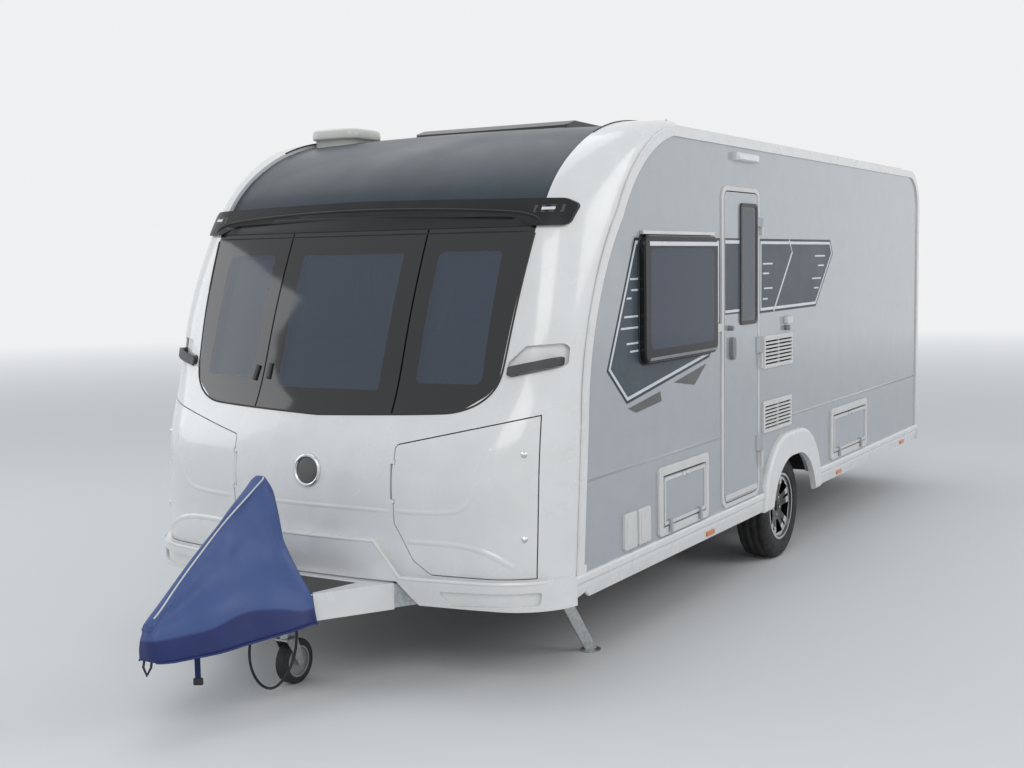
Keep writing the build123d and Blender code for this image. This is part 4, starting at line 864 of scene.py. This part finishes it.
def stroke(name, path, width, low, place, material, body="root"):
    """Pinstripe of one width along a path."""
    left, right = [], []
    for k, point in enumerate(path):
        before, after = path[max(0, k - 1)], path[min(len(path) - 1, k + 1)]
        run = Vector((after[0] - before[0], after[1] - before[1])).normalized()
        left.append((point[0] - run.y * width / 2, point[1] + run.x * width / 2))
        right.append((point[0] + run.y * width / 2, point[1] - run.x * width / 2))
    extruded(name, left + right[::-1], low, low + FILM, place, material, body)


BLOCK_LAYERS = [(0, decal_dark), (0.014, decal_line), (0.030, decal_slate)]
# Short pale dashes: start y, z, length
FRONT_DASHES = [(-2.241, 1.748, 0.085), (-2.230, 1.697, 0.075), (-2.279, 1.660, 0.050),
                (-2.305, 1.576, 0.150), (-2.341, 1.524, 0.185), (-2.283, 1.452, 0.125),
                (-2.247, 1.415, 0.088)]
FRONT_TICK = [(-2.368, 1.378), (-2.250, 1.272), (-2.150, 1.262)]
SLASHES = [[(-2.268, 1.154), (-1.910, 1.201), (-1.895, 1.153), (-2.182, 1.126)],
           [(-1.750, 1.230), (-1.335, 1.293), (-1.490, 1.196)]]
REAR_DASHES = [(-0.50, 1.80, 0.16), (-0.50, 1.745, 0.10), (-0.48, 1.66, 0.14), (-0.50, 1.60, 0.08),
               (0.44, 1.84, 0.20), (0.50, 1.78, 0.12), (0.38, 1.70, 0.18), (0.42, 1.64, 0.09)]


def side_graphics(side):
    """Colour blocks on one side wall."""
    tag = TAGS[side]
    place = on_side(0.0002, side)
    films(f"graphic_front_{tag}", FRONT_BLOCK, BLOCK_LAYERS, place)
    films(f"graphic_rear_{tag}", REAR_BLOCK, BLOCK_LAYERS, place)
    stroke(f"graphic_divider_{tag}", DIVIDER, 0.016, 3 * FILM, place, decal_line)
    for k, (y, z, length) in enumerate(FRONT_DASHES + REAR_DASHES):
        stroke(f"graphic_dash_{tag}_{k}", [(y, z), (y + length, z)], 0.009, 3 * FILM, place, decal_line)
    stroke(f"graphic_tick_{tag}", FRONT_TICK, 0.004, 3 * FILM, place, decal_grey)
    for k, slash in enumerate(SLASHES):
        extruded(f"graphic_slash_{tag}_{k}", slash, 0, FILM, place, decal_grey)


DOOR_THICK = 0.032
DOOR_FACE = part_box("entrance_door")[0].x + DOOR_THICK
# Fields beside the door's window: y from and to, their z, and their lines' name, z and width
DOOR_FIELDS = [(-1.088, -0.884), (-0.616, -0.604)]
FIELD_Z = (1.535, 1.942)
FIELD_LINES = (("line", 1.922, 0.018), ("foot", 1.551, 0.014))


def door_graphics():
    """The colour block's stretch across the entrance door."""
    place = on_side(DOOR_FACE - SIDE_X + 0.0002)
    for k, (y0, y1) in enumerate(DOOR_FIELDS):
        extruded(f"graphic_door_{k}", oblong(y0, y1, *FIELD_Z), 0, FILM, place, decal_slate, "door")
        for part, z, width in FIELD_LINES:
            stroke(f"graphic_door_{part}_{k}", [(y0, z), (y1, z)], width, FILM, place, decal_line, "door")


side_graphics(1)
side_graphics(-1)
door_graphics()

# Side walls: creases, windows, door, small fittings and hatches

seal = black_rubber
# Creases: side, y from and to, z
SIDE_CREASES = [(1, -2.735, -1.135, 0.881), (1, 0.0, 3.0, 0.881), (-1, -2.735, 3.0, 0.881)]
CREASE_PROFILE = [(0.0, -0.009), (0.0014, -0.003), (0.0016, 0.0), (0.0014, 0.003), (0.0, 0.009)]


def side_creases():
    """Pressed line along each side wall."""
    for k, (side, y0, y1, z) in enumerate(SIDE_CREASES):
        verts = [at(side * (SIDE_X + out), y, z + up) for y in (y0, y1) for out, up in CREASE_PROFILE]
        mesh_object(f"side_crease_{k}", verts, strips(2, 5) + [[0, 1, 2, 3, 4], [9, 8, 7, 6, 5]], silver)


PANE_PROUD = 0.038
STRIP = (PANE_PROUD, PANE_PROUD + 0.0012)


def window_trim(name, side, y0, y1, z0, z1):
    """Hinge rail, two strips and rubber edge of one top-hung window."""
    place = on_side(0, side)
    rail = oblong(y0 + 0.02, y1 - 0.005, z1 + 0.002, z1 + 0.022)
    extruded(f"{name}_hinge_rail", rail, 0, 0.022, place, chrome, bevel=0.004)
    top = oblong(y0 + 0.05, y1 - 0.012, z1 - 0.050, z1 - 0.030)
    extruded(f"{name}_top_strip", top, *STRIP, place, decal_line)
    foot = oblong(y0 + 0.05, y1 - 0.03, z0 + 0.012, z0 + 0.026)
    extruded(f"{name}_foot_strip", foot, *STRIP, place, mid_grey)
    edge = rounded(y0 - 0.004, y1 + 0.004, z0 - 0.004, z1, 0.055)
    tube(f"{name}_rubber", [place(y, z, 0.004) for y, z in edge], 0.0055, seal, cyclic=True)


def window_inside(name, side, y0, y1, z0, z1):
    """Blind cassette, its two guides and two stays behind one side window."""
    behind = on_side(-0.030, side)
    cassette = oblong(y0 - 0.02, y1 + 0.02, z1 - 0.02, z1 + 0.07)
    extruded(f"{name}_blind_cassette", cassette, -0.001, -0.06, behind, dome, bevel=0.008)
    for k, y in enumerate((y0 - 0.02, y1 - 0.03)):
        guide = oblong(y, y + 0.05, z0 - 0.02, z1 - 0.02)
        extruded(f"{name}_blind_guide_{k}", guide, -0.001, -0.03, behind, dome, bevel=0.005)
    place = on_side(0, side)
    for k, y in enumerate((y0 + 0.075, y1 - 0.075)):
        tube(f"{name}_stay_{k}", [place(y, z0 + 0.07, 0.012), place(y, z1 - 0.16, -0.028)], 0.005, chrome)


def side_window_details():
    """Trim and inside of the side windows."""
    for index, window in enumerate(SIDE_WINDOWS):
        window_trim(f"window_{index}", *window)
        window_inside(f"window_{index}", *window)


# Window frame, handle's middle and hinges of the entrance door, in (y, z)
DOOR_FRAME = (-0.878, -0.622, 1.469, 2.133)
HANDLE_MIDDLE = (-1.0, 1.35)
DOOR_HINGES = [(0.650, 0.830), (1.210, 1.390), (1.960, 2.056)]


def door_details():
    """Window frame, handle dish, hinge covers and foot strip of the entrance door."""
    face = on_side(DOOR_FACE - SIDE_X)
    y0, y1, z0, z1 = DOOR_FRAME
    outer = rounded(*DOOR_FRAME, 0.03)
    inner = rounded(y0 + 0.020, y1 - 0.020, z0 + 0.020, z1 - 0.020, 0.02)
    frame_ring("door_window_surround", outer, inner, 0.010, face, grey_plastic, "door", 0.002)
    y, z = HANDLE_MIDDLE
    dish = [(y + 0.036 * cos(radians(a)), z + 0.062 * sin(radians(a))) for a in range(0, 360, 12)]
    extruded("door_handle_dish", dish, 0, 0.006, face, mid_grey, "door", 0.003)
    foot = oblong(-1.09, -0.61, 0.530, 0.560)
    extruded("door_foot_strip", foot, 0, 0.003, face, frame_white, "door", 0.001)
    for k, (z0, z1) in enumerate(DOOR_HINGES):
        leaf = oblong(-0.60, -0.578, (z0 + z1) / 2 + 0.004, z1 - 0.004)
        extruded(f"door_hinge_cover_{k}", leaf, 0, 0.009, face, frame_white, "door", 0.002)


def wall_fittings():
    """Door retainer on the wall, small socket cover and the lamp's lens over the door."""
    place = on_side(0)
    retainer = rounded(-0.135, -0.035, 1.44, 1.485, 0.012)
    extruded("door_retainer", retainer, 0, 0.026, place, frame_white, bevel=0.004)
    cup = stud(0.014, 0.03, 0.016, 0.024)
    lathe("door_retainer_cup", cup, place(-0.108, 1.432, 0.014), (0, 0, -1), mid_grey)
    socket = rounded(-1.232, -1.142, 1.448, 1.492, 0.008)
    extruded("wall_socket_cover", socket, 0, 0.012, place, frame_white, bevel=0.003)
    lens = rounded(-0.945, -0.645, 2.364, 2.390, 0.010)
    extruded("step_lamp_lens", lens, 0.029, 0.034, place, clear_lens, bevel=0.002)


# Service hatches: body, node, y from and to, z from and to
HATCHES = [("front_hatch", "service_door", -1.95, -1.33, 0.490, 0.830),
           ("cassette_hatch", "cassette_door", 0.770, 1.595, 0.495, 0.835)]
HATCH_PROUD = 0.012


def hatch_details():
    """Rim and lock of the two service hatches, and the blank covers' ribs."""
    place = on_side(HATCH_PROUD)
    for body, node, y0, y1, z0, z1 in HATCHES:
        middle = (y0 + y1) / 2
        outer = rounded(y0 + 0.052, y1 - 0.052, z0 + 0.052, z1 - 0.055, 0.014)
        inner = rounded(y0 + 0.068, y1 - 0.068, z0 + 0.068, z1 - 0.071, 0.010)
        frame_ring(f"{node}_rim", outer, inner, 0.004, place, frame_white, body, 0.0015)
        tab = rounded(middle - 0.045, middle + 0.045, z1 - 0.072, z1 - 0.052, 0.006)
        extruded(f"{node}_lock_tab", tab, 0.003, 0.010, place, frame_white, body, 0.002)
        barrel = stud(0.007, 0.012, 0.008, 0.010)
        lathe(f"{node}_lock_barrel", barrel, place(middle, z1 - 0.062, 0.004), (1, 0, 0), chrome, body, 20)
    for k, y in enumerate((-2.270, -2.120)):
        rib = rounded(y - 0.048, y + 0.048, 0.518, 0.652, 0.010)
        extruded(f"blank_cover_rib_{k}", rib, 0.016, 0.018, on_side(0), frame_white, bevel=0.0015)


side_creases()
side_window_details()
door_details()
wall_fittings()
hatch_details()

# Front: brow, creases, locks, lamps, badge, seals and what shows inside, in (x, z)

LIP = [(-0.946, 2.003), (-0.90, 2.035), (-0.80, 2.055), (-0.40, 2.077), (0.0, 2.084), (0.40, 2.077),
       (0.80, 2.055), (0.90, 2.035), (0.946, 2.003)]
# Outline of the lip's painted shadow: from the lip down to an arc that lies at most this far under it in the
# middle
SHADOW_DROP = 0.040
BROW_SHADOW_OUTLINE = LIP[1:-1] + [(x * 0.93, z - SHADOW_DROP * (1 - (x / 0.95) ** 4)) for x, z in LIP[::-1][1:-1]]
BROW_BOARD = LIP + [(0.90, 1.992), (-0.90, 1.992)]
CREASE = [(0.452, 0.772), (0.70, 0.776), (0.79, 0.80), (0.83, 0.87), (0.87, 1.01), (0.885, 1.06)]
LOW_CREASE = [(0.515, 0.643), (0.65, 0.645), (0.778, 0.641), (0.893, 0.614), (0.985, 0.552)]
BUMPER_EDGE = [(-1.12, 0.487), (-0.480, 0.482), (-0.365, 0.638), (0.365, 0.638), (0.480, 0.482),
               (1.12, 0.487)]
LOCKS = [(1.011, 1.030), (1.018, 0.672)]
LOCK_PROFILE = [(0, 0.006), (0.006, 0.006), (0.0075, 0.003), (0.012, 0.0025), (0.0145, 0.001),
                (0.0145, -0.002), (0, -0.002)]
LAMP_X = 0.955


def mirrored(path, side):
    """Path of (x, z) points on one side."""
    return [(side * x, z) for x, z in path]


def locker_details(side, body):
    """Creases and locks of one front locker door, and the lamp over it."""
    ridge(f"{body}_crease", mirrored(smooth_path(CREASE), side), 0.034, 0.0035, white, body)
    ridge(f"{body}_low_crease", mirrored(smooth_path(LOW_CREASE), side), 0.036, 0.005, white, body)
    for k, (x, z) in enumerate(LOCKS):
        lathe(f"{body}_lock_{k}", LOCK_PROFILE, *on_front(side * x, z), chrome, body, 28)
    x = side * LAMP_X
    patch(f"brow_lamp_bed_{body}", oblong(x - 0.062, x + 0.062, 2.05, 2.082), 0.0006, grey_plastic)
    patch(f"brow_lamp_lens_{body}", oblong(x - 0.028, x + 0.028, 2.060, 2.072), 0.0022, clear_lens)


def front_details():
    """Everything small that is laid on the front."""
    patch("brow_board", BROW_BOARD, 0.0012, brow_board, 0.03)
    # Near-black film under the lip: the lip's painted shadow
    patch("brow_painted_shadow", BROW_SHADOW_OUTLINE, 0.0020, brow_shadow, 0.03)
    ridge("brow_lip", smooth_path(LIP, 2), 0.022, 0.009, brow_black)
    # Two near-black beads under the board: painted shade of a groove and of a step
    for k, z in enumerate((1.990, 1.968)):
        ridge(f"brow_lower_bead_{k}", [(-0.900, z), (0.900, z)], 0.009, 0.003, brow_shadow)
    ridge("front_crease", [(-0.445, 0.772), (0.445, 0.772)], 0.030, 0.0032, white)
    locker_details(1, "left_locker")
    locker_details(-1, "right_locker")
    ridge("bumper_edge", BUMPER_EDGE, 0.020, 0.004, white, tree=bumper_tree)


BADGE_PLACE = (0.0, 0.925)
BADGE_RING = [(0.058, 0.001), (0.060, 0.008), (0.066, 0.011), (0.072, 0.009), (0.075, 0.002),
              (0.075, -0.003), (0.058, -0.003), (0.058, 0.001)]
BADGE_DOME = [(0, 0.008), (0.02, 0.0075), (0.04, 0.006), (0.055, 0.003), (0.060, 0.001),
              (0.060, -0.002), (0, -0.002)]


def badge():
    """Plain round badge: bright ring with a dark dome and nothing on it."""
    for part, profile, material in (("ring", BADGE_RING, chrome), ("dome", BADGE_DOME, decal_grey)):
        lathe(f"badge_{part}", profile, *on_front(*BADGE_PLACE), material, segments=64)


# Edge of the glazing from its middle foot up one side
PANE_EDGE = [(0, 1.167), (0.60, 1.188), (0.705, 1.197), (0.800, 1.236), (0.864, 1.310), (0.878, 1.430),
             (0.915, 1.960)]
# Catches low beside the left seam: x, z, lean
CATCHES = [(-0.435, 1.335, 0.25), (-0.352, 1.345, 0.0)]


def pane_seals():
    """Black seal round the front glazing, and two of its catches."""
    half = dense(smooth_path(PANE_EDGE), 0.03)
    outline = mirrored(half[::-1], -1) + half[1:]
    tube("front_glazing_seal", [on_front(x, z)[0] for x, z in outline], 0.0045, seal)
    for k, (x, z, lean) in enumerate(CATCHES):
        ends = [on_front(x + 0.022 * lean * way, z + 0.034 * way, 0.004)[0] for way in (-1, 1)]
        tube(f"pane_catch_{k}", ends, 0.011, grey_plastic, sides=16)


# Window stays seen behind the front panes: upper x, z and lower x, z
FRONT_STAYS = [(-0.235, 1.72, -0.262, 1.545), (0.545, 1.74, 0.520, 1.560), (-0.700, 1.70, -0.735, 1.520),
               (0.240, 1.72, 0.262, 1.545)]
FRONT_BLINDS = [(-0.80, -0.44), (-0.34, 0.34), (0.44, 0.80)]


def front_inside():
    """Stays, and the cassettes and guides of the blinds behind the front panes."""
    for k, (x0, z0, x1, z1) in enumerate(FRONT_STAYS):
        ends = [on_front(x0, z0, -0.055)[0], on_front(x1, z1, -0.045)[0]]
        tube(f"front_stay_{k}", ends, 0.005, chrome)
    for k, (x0, x1) in enumerate(FRONT_BLINDS):
        places = [on_front(x0 + (x1 - x0) * i / 8, 1.905, -0.075)[0] for i in range(9)]
        tube(f"front_blind_cassette_{k}", places, 0.028, dome, sides=16)
        for j, x in enumerate((x0, x1)):
            ends = [on_front(x, z, -0.06)[0] for z in (1.90, 1.75, 1.60, 1.45, 1.28)]
            tube(f"front_blind_guide_{k}_{j}", ends, 0.012, mid_grey)


front_details()
badge()
pane_seals()
front_inside()

# Road wheels and tyres

TYRE_R = (tyre_high.z - tyre_low.z) / 2
TYRE_X = (tyre_low.x, tyre_high.x)
RIM_R = 0.203
TREAD_STEPS = 180
GROOVES = (-0.046, 0.0, 0.046)
GROOVE_HALF = 0.0045
GROOVE_DEEP = 0.008
# Side wall from the bead to the shoulder: distance from the outer face, radius
TYRE_WALL = [(0.012, RIM_R - 0.014), (0.010, RIM_R + 0.004), (0.005, RIM_R + 0.016), (0.0015, RIM_R + 0.034),
             (0, RIM_R + 0.052), (0.0025, RIM_R + 0.070), (0.006, RIM_R + 0.086), (0.012, TYRE_R - 0.016),
             (0.020, TYRE_R - 0.008)]


def tread_profile():
    """(x from the tyre's middle, radius) from bead to bead, with the grooves round the tread."""
    half = (TYRE_X[1] - TYRE_X[0]) / 2
    wall = [(-half + inwards, r) for inwards, r in TYRE_WALL]
    tread = []
    for g in GROOVES:
        base = TYRE_R - 0.0012 - 10 * abs(g) ** 3
        for x, r in ((-GROOVE_HALF - 0.001, base), (-GROOVE_HALF, base - GROOVE_DEEP),
                     (GROOVE_HALF, base - GROOVE_DEEP), (GROOVE_HALF + 0.001, base)):
            tread.append((g + x, r))
    return wall + tread + [(-x, r) for x, r in reversed(wall)]


def cut_depth(k, x, r):
    """Depth of the cuts at one step round the tyre: in the shoulders, and fine ones between the grooves."""
    if r > TYRE_R - 0.018 and abs(x) > 0.054 and k % 5 == 0:
        return 0.0055
    if r > TYRE_R - 0.004 and abs(x) < 0.045 and k % 4 == 2:
        return 0.003
    return 0.0


def on_wheel(x, radius, angle):
    """Point at a radius and an angle about the road wheels' axle."""
    return at(x, radius * cos(angle), TYRE_R + radius * sin(angle))


def tyre_material():
    """Matt tyre rubber with a little dust."""
    m = Maker("tyre_rubber", (0.02, 0.02, 0.02), 0.72)
    m.colours(m.noise(18, 5), (0.016, 0.016, 0.017), (0.045, 0.042, 0.038), 0.45, 0.75)
    m.bump(m.noise(260, 3), 0.25, 0.001)
    return m


tyre_rubber = tyre_material()


def road_tyre(side, body):
    """Tyre with grooves round it and cuts across its shoulders."""
    tag = TAGS[side]
    middle = side * (TYRE_X[0] + TYRE_X[1]) / 2
    profile = tread_profile()
    verts = [on_wheel(middle + x, r - cut_depth(k, x, r), 2 * pi * k / TREAD_STEPS)
             for k in range(TREAD_STEPS) for x, r in profile]
    faces = turned(TREAD_STEPS, len(profile))
    tyre = mesh_object(f"road_tyre_{tag}", verts, faces, tyre_rubber, body)
    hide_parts(f"tyre_{tag}")
    for name, radius, lift in (("rim_guard", RIM_R + 0.014, 0.006), ("side_ring", RIM_R + 0.066, 0.0022)):
        ring = [on_wheel(side * (TYRE_X[1] - lift), radius, 2 * pi * k / 64) for k in range(64)]
        tube(f"tyre_{name}_{tag}", ring, 0.0022, black_rubber, body, cyclic=True)


# Valve: distance inwards from the tyre's outer face, radius
VALVE_ENDS = ((0.030, 0.172), (0.016, 0.160))
CAP_PROFILE = [(0, 0.010), (0.022, 0.0095), (0.028, 0.007), (0.031, 0.002), (0.031, -0.004), (0, -0.004)]


def wheel_fittings(side, body):
    """Plain centre cap, five wheel bolts and the tyre valve."""
    tag = TAGS[side]
    face = side * (TYRE_X[1] - 0.040)
    out = (side, 0, 0)
    lathe(f"centre_cap_{tag}", CAP_PROFILE, on_wheel(face, 0, 0), out, brow_black, body, 40)
    bolt = stud(0.007, 0.012, 0.0085, 0.010, -0.004)
    for k in range(5):
        spot = on_wheel(face - side * 0.006, 0.056, radians(126 + 72 * k))
        lathe(f"wheel_bolt_{tag}_{k}", bolt, spot, out, zinc, body, 6)
    ends = [on_wheel(side * (TYRE_X[1] - inwards), radius, radians(60)) for inwards, radius in VALVE_ENDS]
    tube(f"tyre_valve_{tag}", ends, 0.004, black_rubber, body)


for wheel_side, wheel_body in ((1, "left_wheel"), (-1, "right_wheel")):
    road_tyre(wheel_side, wheel_body)
    wheel_fittings(wheel_side, wheel_body)

# Rear lamps: one column each side, in levels from the foot: z from and to, material
LAMP_LEVELS = [(1.30, 1.42, clear_lens), (1.435, 1.555, amber_lens), (1.57, 1.73, red_lens),
               (1.745, 1.93, red_lens)]
REFLECTOR_PROFILE = [(0, 0.006), (0.030, 0.005), (0.036, 0.002), (0.036, -0.004), (0, -0.004)]
GRAB_BAR = [(1.0, 0.0), (1.02, 0.035), (1.24, 0.035), (1.26, 0.0)]
rear_tree = tree_of("rear_panel", "rear_lamps", "rear_bumper")


def on_rear(x, z, lift=0.0):
    """Point and normal on the rear, seen along the caravan."""
    return laid(rear_tree, (x, 9, z), (0, -1, 0), lift)


def rear_side(side):
    """Lens blocks, reflector and grab bar on one side of the rear panel."""
    tag = TAGS[side]
    for k, (z0, z1, lens) in enumerate(LAMP_LEVELS):
        outline = rounded(0.972, 1.088, z0, z1, 0.016, 4)
        verts = [on_rear(side * x, z, lift)[0] for lift in (0.004, -0.003) for x, z in outline]
        n = len(outline)
        faces = [list(range(n))] + strips(2, n, True)
        soften(mesh_object(f"rear_lens_{tag}_{k}", verts, faces, lens, smooth=False), 0.0015)
    lathe(f"rear_reflector_{tag}", REFLECTOR_PROFILE, *on_rear(side * 0.90, 0.52), red_lens)
    bar = [tuple(on_rear(side * 0.70, z, lift)[0]) for z, lift in GRAB_BAR]
    tube(f"rear_grab_bar_{tag}", smooth_path(bar), 0.011, grey_plastic, sides=16)


def rear_details():
    """What is laid on the rear panel, with its seams."""
    rear_side(1)
    rear_side(-1)
    for k, z in enumerate((1.16, 2.16)):
        tube(f"rear_seam_{k}", [on_rear(x / 20, z)[0] for x in range(-20, 21)], 0.0035, frame_white)


rear_details()

# Roof: strips beside the rails and the front panel, the joint, the rooflight's flange and the small dome

roof_tree = tree_of("roof", "front_roof_panel", "front_panel", "rear_panel")


def on_roof(x, y, lift):
    """Point on the roof, seen from above, or None."""
    hit, _, _, _ = roof_tree.ray_cast(Vector((x, y + AXLE_Y, 9)), Vector((0, 0, -1)))
    return None if hit is None else hit + Vector((0, 0, lift))


# Outline of the large rooflight's flange: x from and to, y from and to
FLANGE = (-0.492, 0.492, -0.362, 0.362)
FLANGE_Y = -1.25


def roof_details():
    """Seams and trims on the roof."""
    for side, tag in TAGS.items():
        line = [on_roof(side * 1.085, y / 10, 0.001) for y in range(-17, 28)]
        tube(f"roof_seal_{tag}", line, 0.006, frame_white)
        line = [on_roof(side * 0.926, -1.655 - 0.03 * k, 0.0008) for k in range(18)]
        tube(f"roof_panel_edge_{tag}", line, 0.004, seal)
    tube("roof_joint_front", [on_roof(x / 20, -1.66, 0.0008) for x in range(-18, 19)], 0.005, frame_white)
    line = [on_roof(u, FLANGE_Y + v, 0.004) for u, v in dense(rounded(*FLANGE, 0.04), 0.05)]
    tube("rooflight_flange_large", line, 0.010, frame_white, cyclic=True)
    small_dome()


# Rings of the small dome from its foot: share of the full outline, depth under the top
DOME_RINGS = [(0.90, 0.060), (0.985, 0.058), (1.0, 0.050), (1.0, 0.032), (0.985, 0.018), (0.94, 0.007),
              (0.80, 0.001), (0.40, 0.0)]


def small_dome():
    """Low dome of the small rooflight: narrower frame below, soft lid over it."""
    low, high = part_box("small_rooflight")
    middle, half = (low + high) / 2, (high - low) / 2
    verts, n = [], 0
    for scale, depth in [(0.90, high.z - low.z)] + DOME_RINGS:
        x, y = half.x * scale, half.y * scale
        ring = rounded(-x, x, -y, y, 0.06 * scale)
        n = len(ring)
        verts += [Vector((middle.x + u, middle.y + v, high.z - depth)) for u, v in ring]
    rows = len(verts) // n
    faces = strips(rows, n, True) + [[(rows - 1) * n + i for i in range(n)]]
    lid = mesh_object("small_rooflight_dome", verts, faces, dome)
    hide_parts("small_rooflight")


roof_details()

# Underside and towing end: the long members' holes and outer faces, axle bolts in (y, z), outlets

LIGHTENING_HOLES = [-2.05, -1.65, -1.25, -0.85, 0.55, 0.95, 1.35, 1.75]
HOLE_Z = 0.415
MEMBER_FACE = 0.575
HOLE_LIP = [(0.030, 0.0015), (0.033, 0.003), (0.036, 0.0015), (0.037, -0.001)]
# Dark disc in each hole: painted shade of the member's inside seen through it
HOLE_SHADE_DISC = [(0, 0.0006), (0.030, 0.0006), (0.0305, -0.001)]
AXLE_BOLTS = [(-0.235, 0.430), (-0.235, 0.380), (-0.065, 0.430), (-0.065, 0.380)]
WASTE_OUTLET = [(0, -0.62, 0.484), (0, -0.62, 0.440), (0.05, -0.62, 0.410)]


def chassis_details():
    """Pressed holes and bolts of the long members, a dark disc of painted shade in each hole, and the water
    waste outlets under the floor.
    """
    for side, tag in TAGS.items():
        x, out = side * MEMBER_FACE, (side, 0, 0)
        for k, y in enumerate(LIGHTENING_HOLES):
            for part, profile, material in (("_lip", HOLE_LIP, zinc), ("", HOLE_SHADE_DISC, grey_plastic)):
                lathe(f"member_hole{part}_{tag}_{k}", profile, at(x, y, HOLE_Z), out, material, segments=28)
        bolt = stud(0.009, 0.009, 0.010, 0.007, -0.003)
        for k, (y, z) in enumerate(AXLE_BOLTS):
            lathe(f"axle_bolt_{tag}_{k}", bolt, at(x, y, z), out, zinc, segments=6)
    for k, x in enumerate((-0.30, 0.30)):
        tube(f"waste_outlet_{k}", [at(x + u, y, z) for u, y, z in WASTE_OUTLET], 0.014, mid_grey)


# Jockey clamp, and the strap and loop that hang from the cover
CLAMP_LEVER = [(0.050, -3.420, 0.405), (0.105, -3.450, 0.405), (0.130, -3.460, 0.370)]
CLAMP_KNOB = (0.130, -3.460, 0.352)
KNOB_PROFILE = [(0, 0.02), (0.012, 0.018), (0.015, 0.010), (0.012, 0), (0, 0)]
STRAP_PLACE = (0.104, -4.020, 0.312)
DRAW_LOOP = [(-0.020, -4.176, 0.330), (-0.024, -4.182, 0.292), (-0.004, -4.184, 0.262),
             (0.014, -4.178, 0.296), (0.012, -4.170, 0.326)]
# Dark film of painted shade in the opening of the plate over the drawbar: x, y
OPENING_SHADE_PLAN = [(-0.304, -3.253), (0.304, -3.253), (0.240, -3.505), (-0.240, -3.505)]
opening_shade_grey = plastic("opening_shade_grey", (0.035, 0.037, 0.036), (0.045, 0.047, 0.046), 0.55)


def strap_point(u, v, w):
    """Point of the strap: u along its width, v upwards; its plane is turned to the cover's side."""
    x, y, z = STRAP_PLACE
    return at(x + u * 0.85, y + u * 0.5, z + v + w)


def buckle_point(u, v, w):
    """Point of the buckle, whose thickness w runs across the strap."""
    x, y, z = STRAP_PLACE
    return at(x + u * 0.85, y + u * 0.5 + w, z + v)


def towing_details():
    """Jockey clamp's lever, the cover's strap and loop, and a dark film of painted shade in the opening of
    the plate over the drawbar.
    """
    tube("jockey_clamp_lever", [at(*p) for p in CLAMP_LEVER], 0.007, zinc)
    lathe("jockey_clamp_knob", KNOB_PROFILE, at(*CLAMP_KNOB), (0, 0, 1), grey_plastic)
    strap = oblong(-0.012, 0.012, -0.11, 0.02)
    extruded("cover_strap", strap, 0, 0.002, strap_point, hem_navy, slot="cover_vinyl")
    buckle = rounded(-0.018, 0.018, -0.118, -0.088, 0.005)
    extruded("cover_buckle", buckle, -0.003, 0.005, buckle_point, black_rubber, bevel=0.001)
    tube("cover_draw_loop", [at(*p) for p in DRAW_LOOP], 0.005, black_rubber, sides=8)
    # Near-black film: painted shade inside the plate's opening
    extruded("drawbar_opening_shade", OPENING_SHADE_PLAN, 0.4598, 0.4610, at, opening_shade_grey)


chassis_details()
towing_details()

# Inside: cushions and what shows through the panes


def fabric_material():
    """Woven upholstery."""
    m = Maker("upholstery_weave", (0.30, 0.28, 0.25), 0.9)
    thread = m.calc("MULTIPLY", m.noise(700, 1, (1, 0.15, 1)), m.noise(700, 1, (0.15, 1, 1)))
    m.colours(m.noise(20, 4), (0.24, 0.225, 0.205), (0.33, 0.31, 0.28), 0.3, 0.7)
    m.bump(thread, 0.4, 0.002)
    m.set("Sheen Weight", 0.3)
    return m


fabric = fabric_material()


def cushion(name, low, high):
    """Foam cushion between two corners: crowned faces and pinched corners."""
    size, middle = high - low, (high + low) / 2
    bm = bmesh.new()
    bmesh.ops.create_cube(bm, size=2)
    bmesh.ops.subdivide_edges(bm, edges=bm.edges[:], cuts=11, use_grid_fill=True)
    for v in bm.verts:
        p = v.co.copy()
        edge = [abs(c) ** 6 for c in p]
        pinch = 1 - 0.045 * (edge[0] * edge[1] + edge[1] * edge[2] + edge[0] * edge[2])
        crown = 1 - 0.10 * (p.x ** 2 + p.y ** 2) * (abs(p.z) ** 4) * 0.5
        v.co = Vector((p.x * pinch, p.y * pinch, p.z * pinch * crown)) * 0.985
        v.co = middle + Vector([c * s / 2 for c, s in zip(v.co, size)])
    obj = from_bmesh(name, bm, fabric)
    subdivision = obj.modifiers.new("soft", "SUBSURF")
    subdivision.levels = subdivision.render_levels = 1
    return obj


SEAT_THICK = 0.13
SEAT_INNER = 0.486
BACK_THICK = 0.155


def cushions():
    """The four cushions of the front seats."""
    low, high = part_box("seat_cushions")
    seat_top = low.z + SEAT_THICK
    for side, tag in TAGS.items():
        x0, x1 = sorted([side * SEAT_INNER, side * high.x])
        made = cushion(f"seat_cushion_{tag}", Vector((x0, low.y, low.z)), Vector((x1, high.y, seat_top)))
        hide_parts("seat_cushions")
        x0, x1 = sorted([side * (high.x - BACK_THICK + 0.001), side * (high.x - 0.015)])
        cushion(f"back_cushion_{tag}", Vector((x0, low.y, seat_top + 0.001)), Vector((x1, high.y, high.z)))


def shelf_edge():
    """Wooden edge of the shelf behind the front glazing."""
    tube("front_shelf_edge", [on_front(x / 10, 1.16, -0.045)[0] for x in range(-8, 9)], 0.012, wood)


cushions()
shelf_edge()
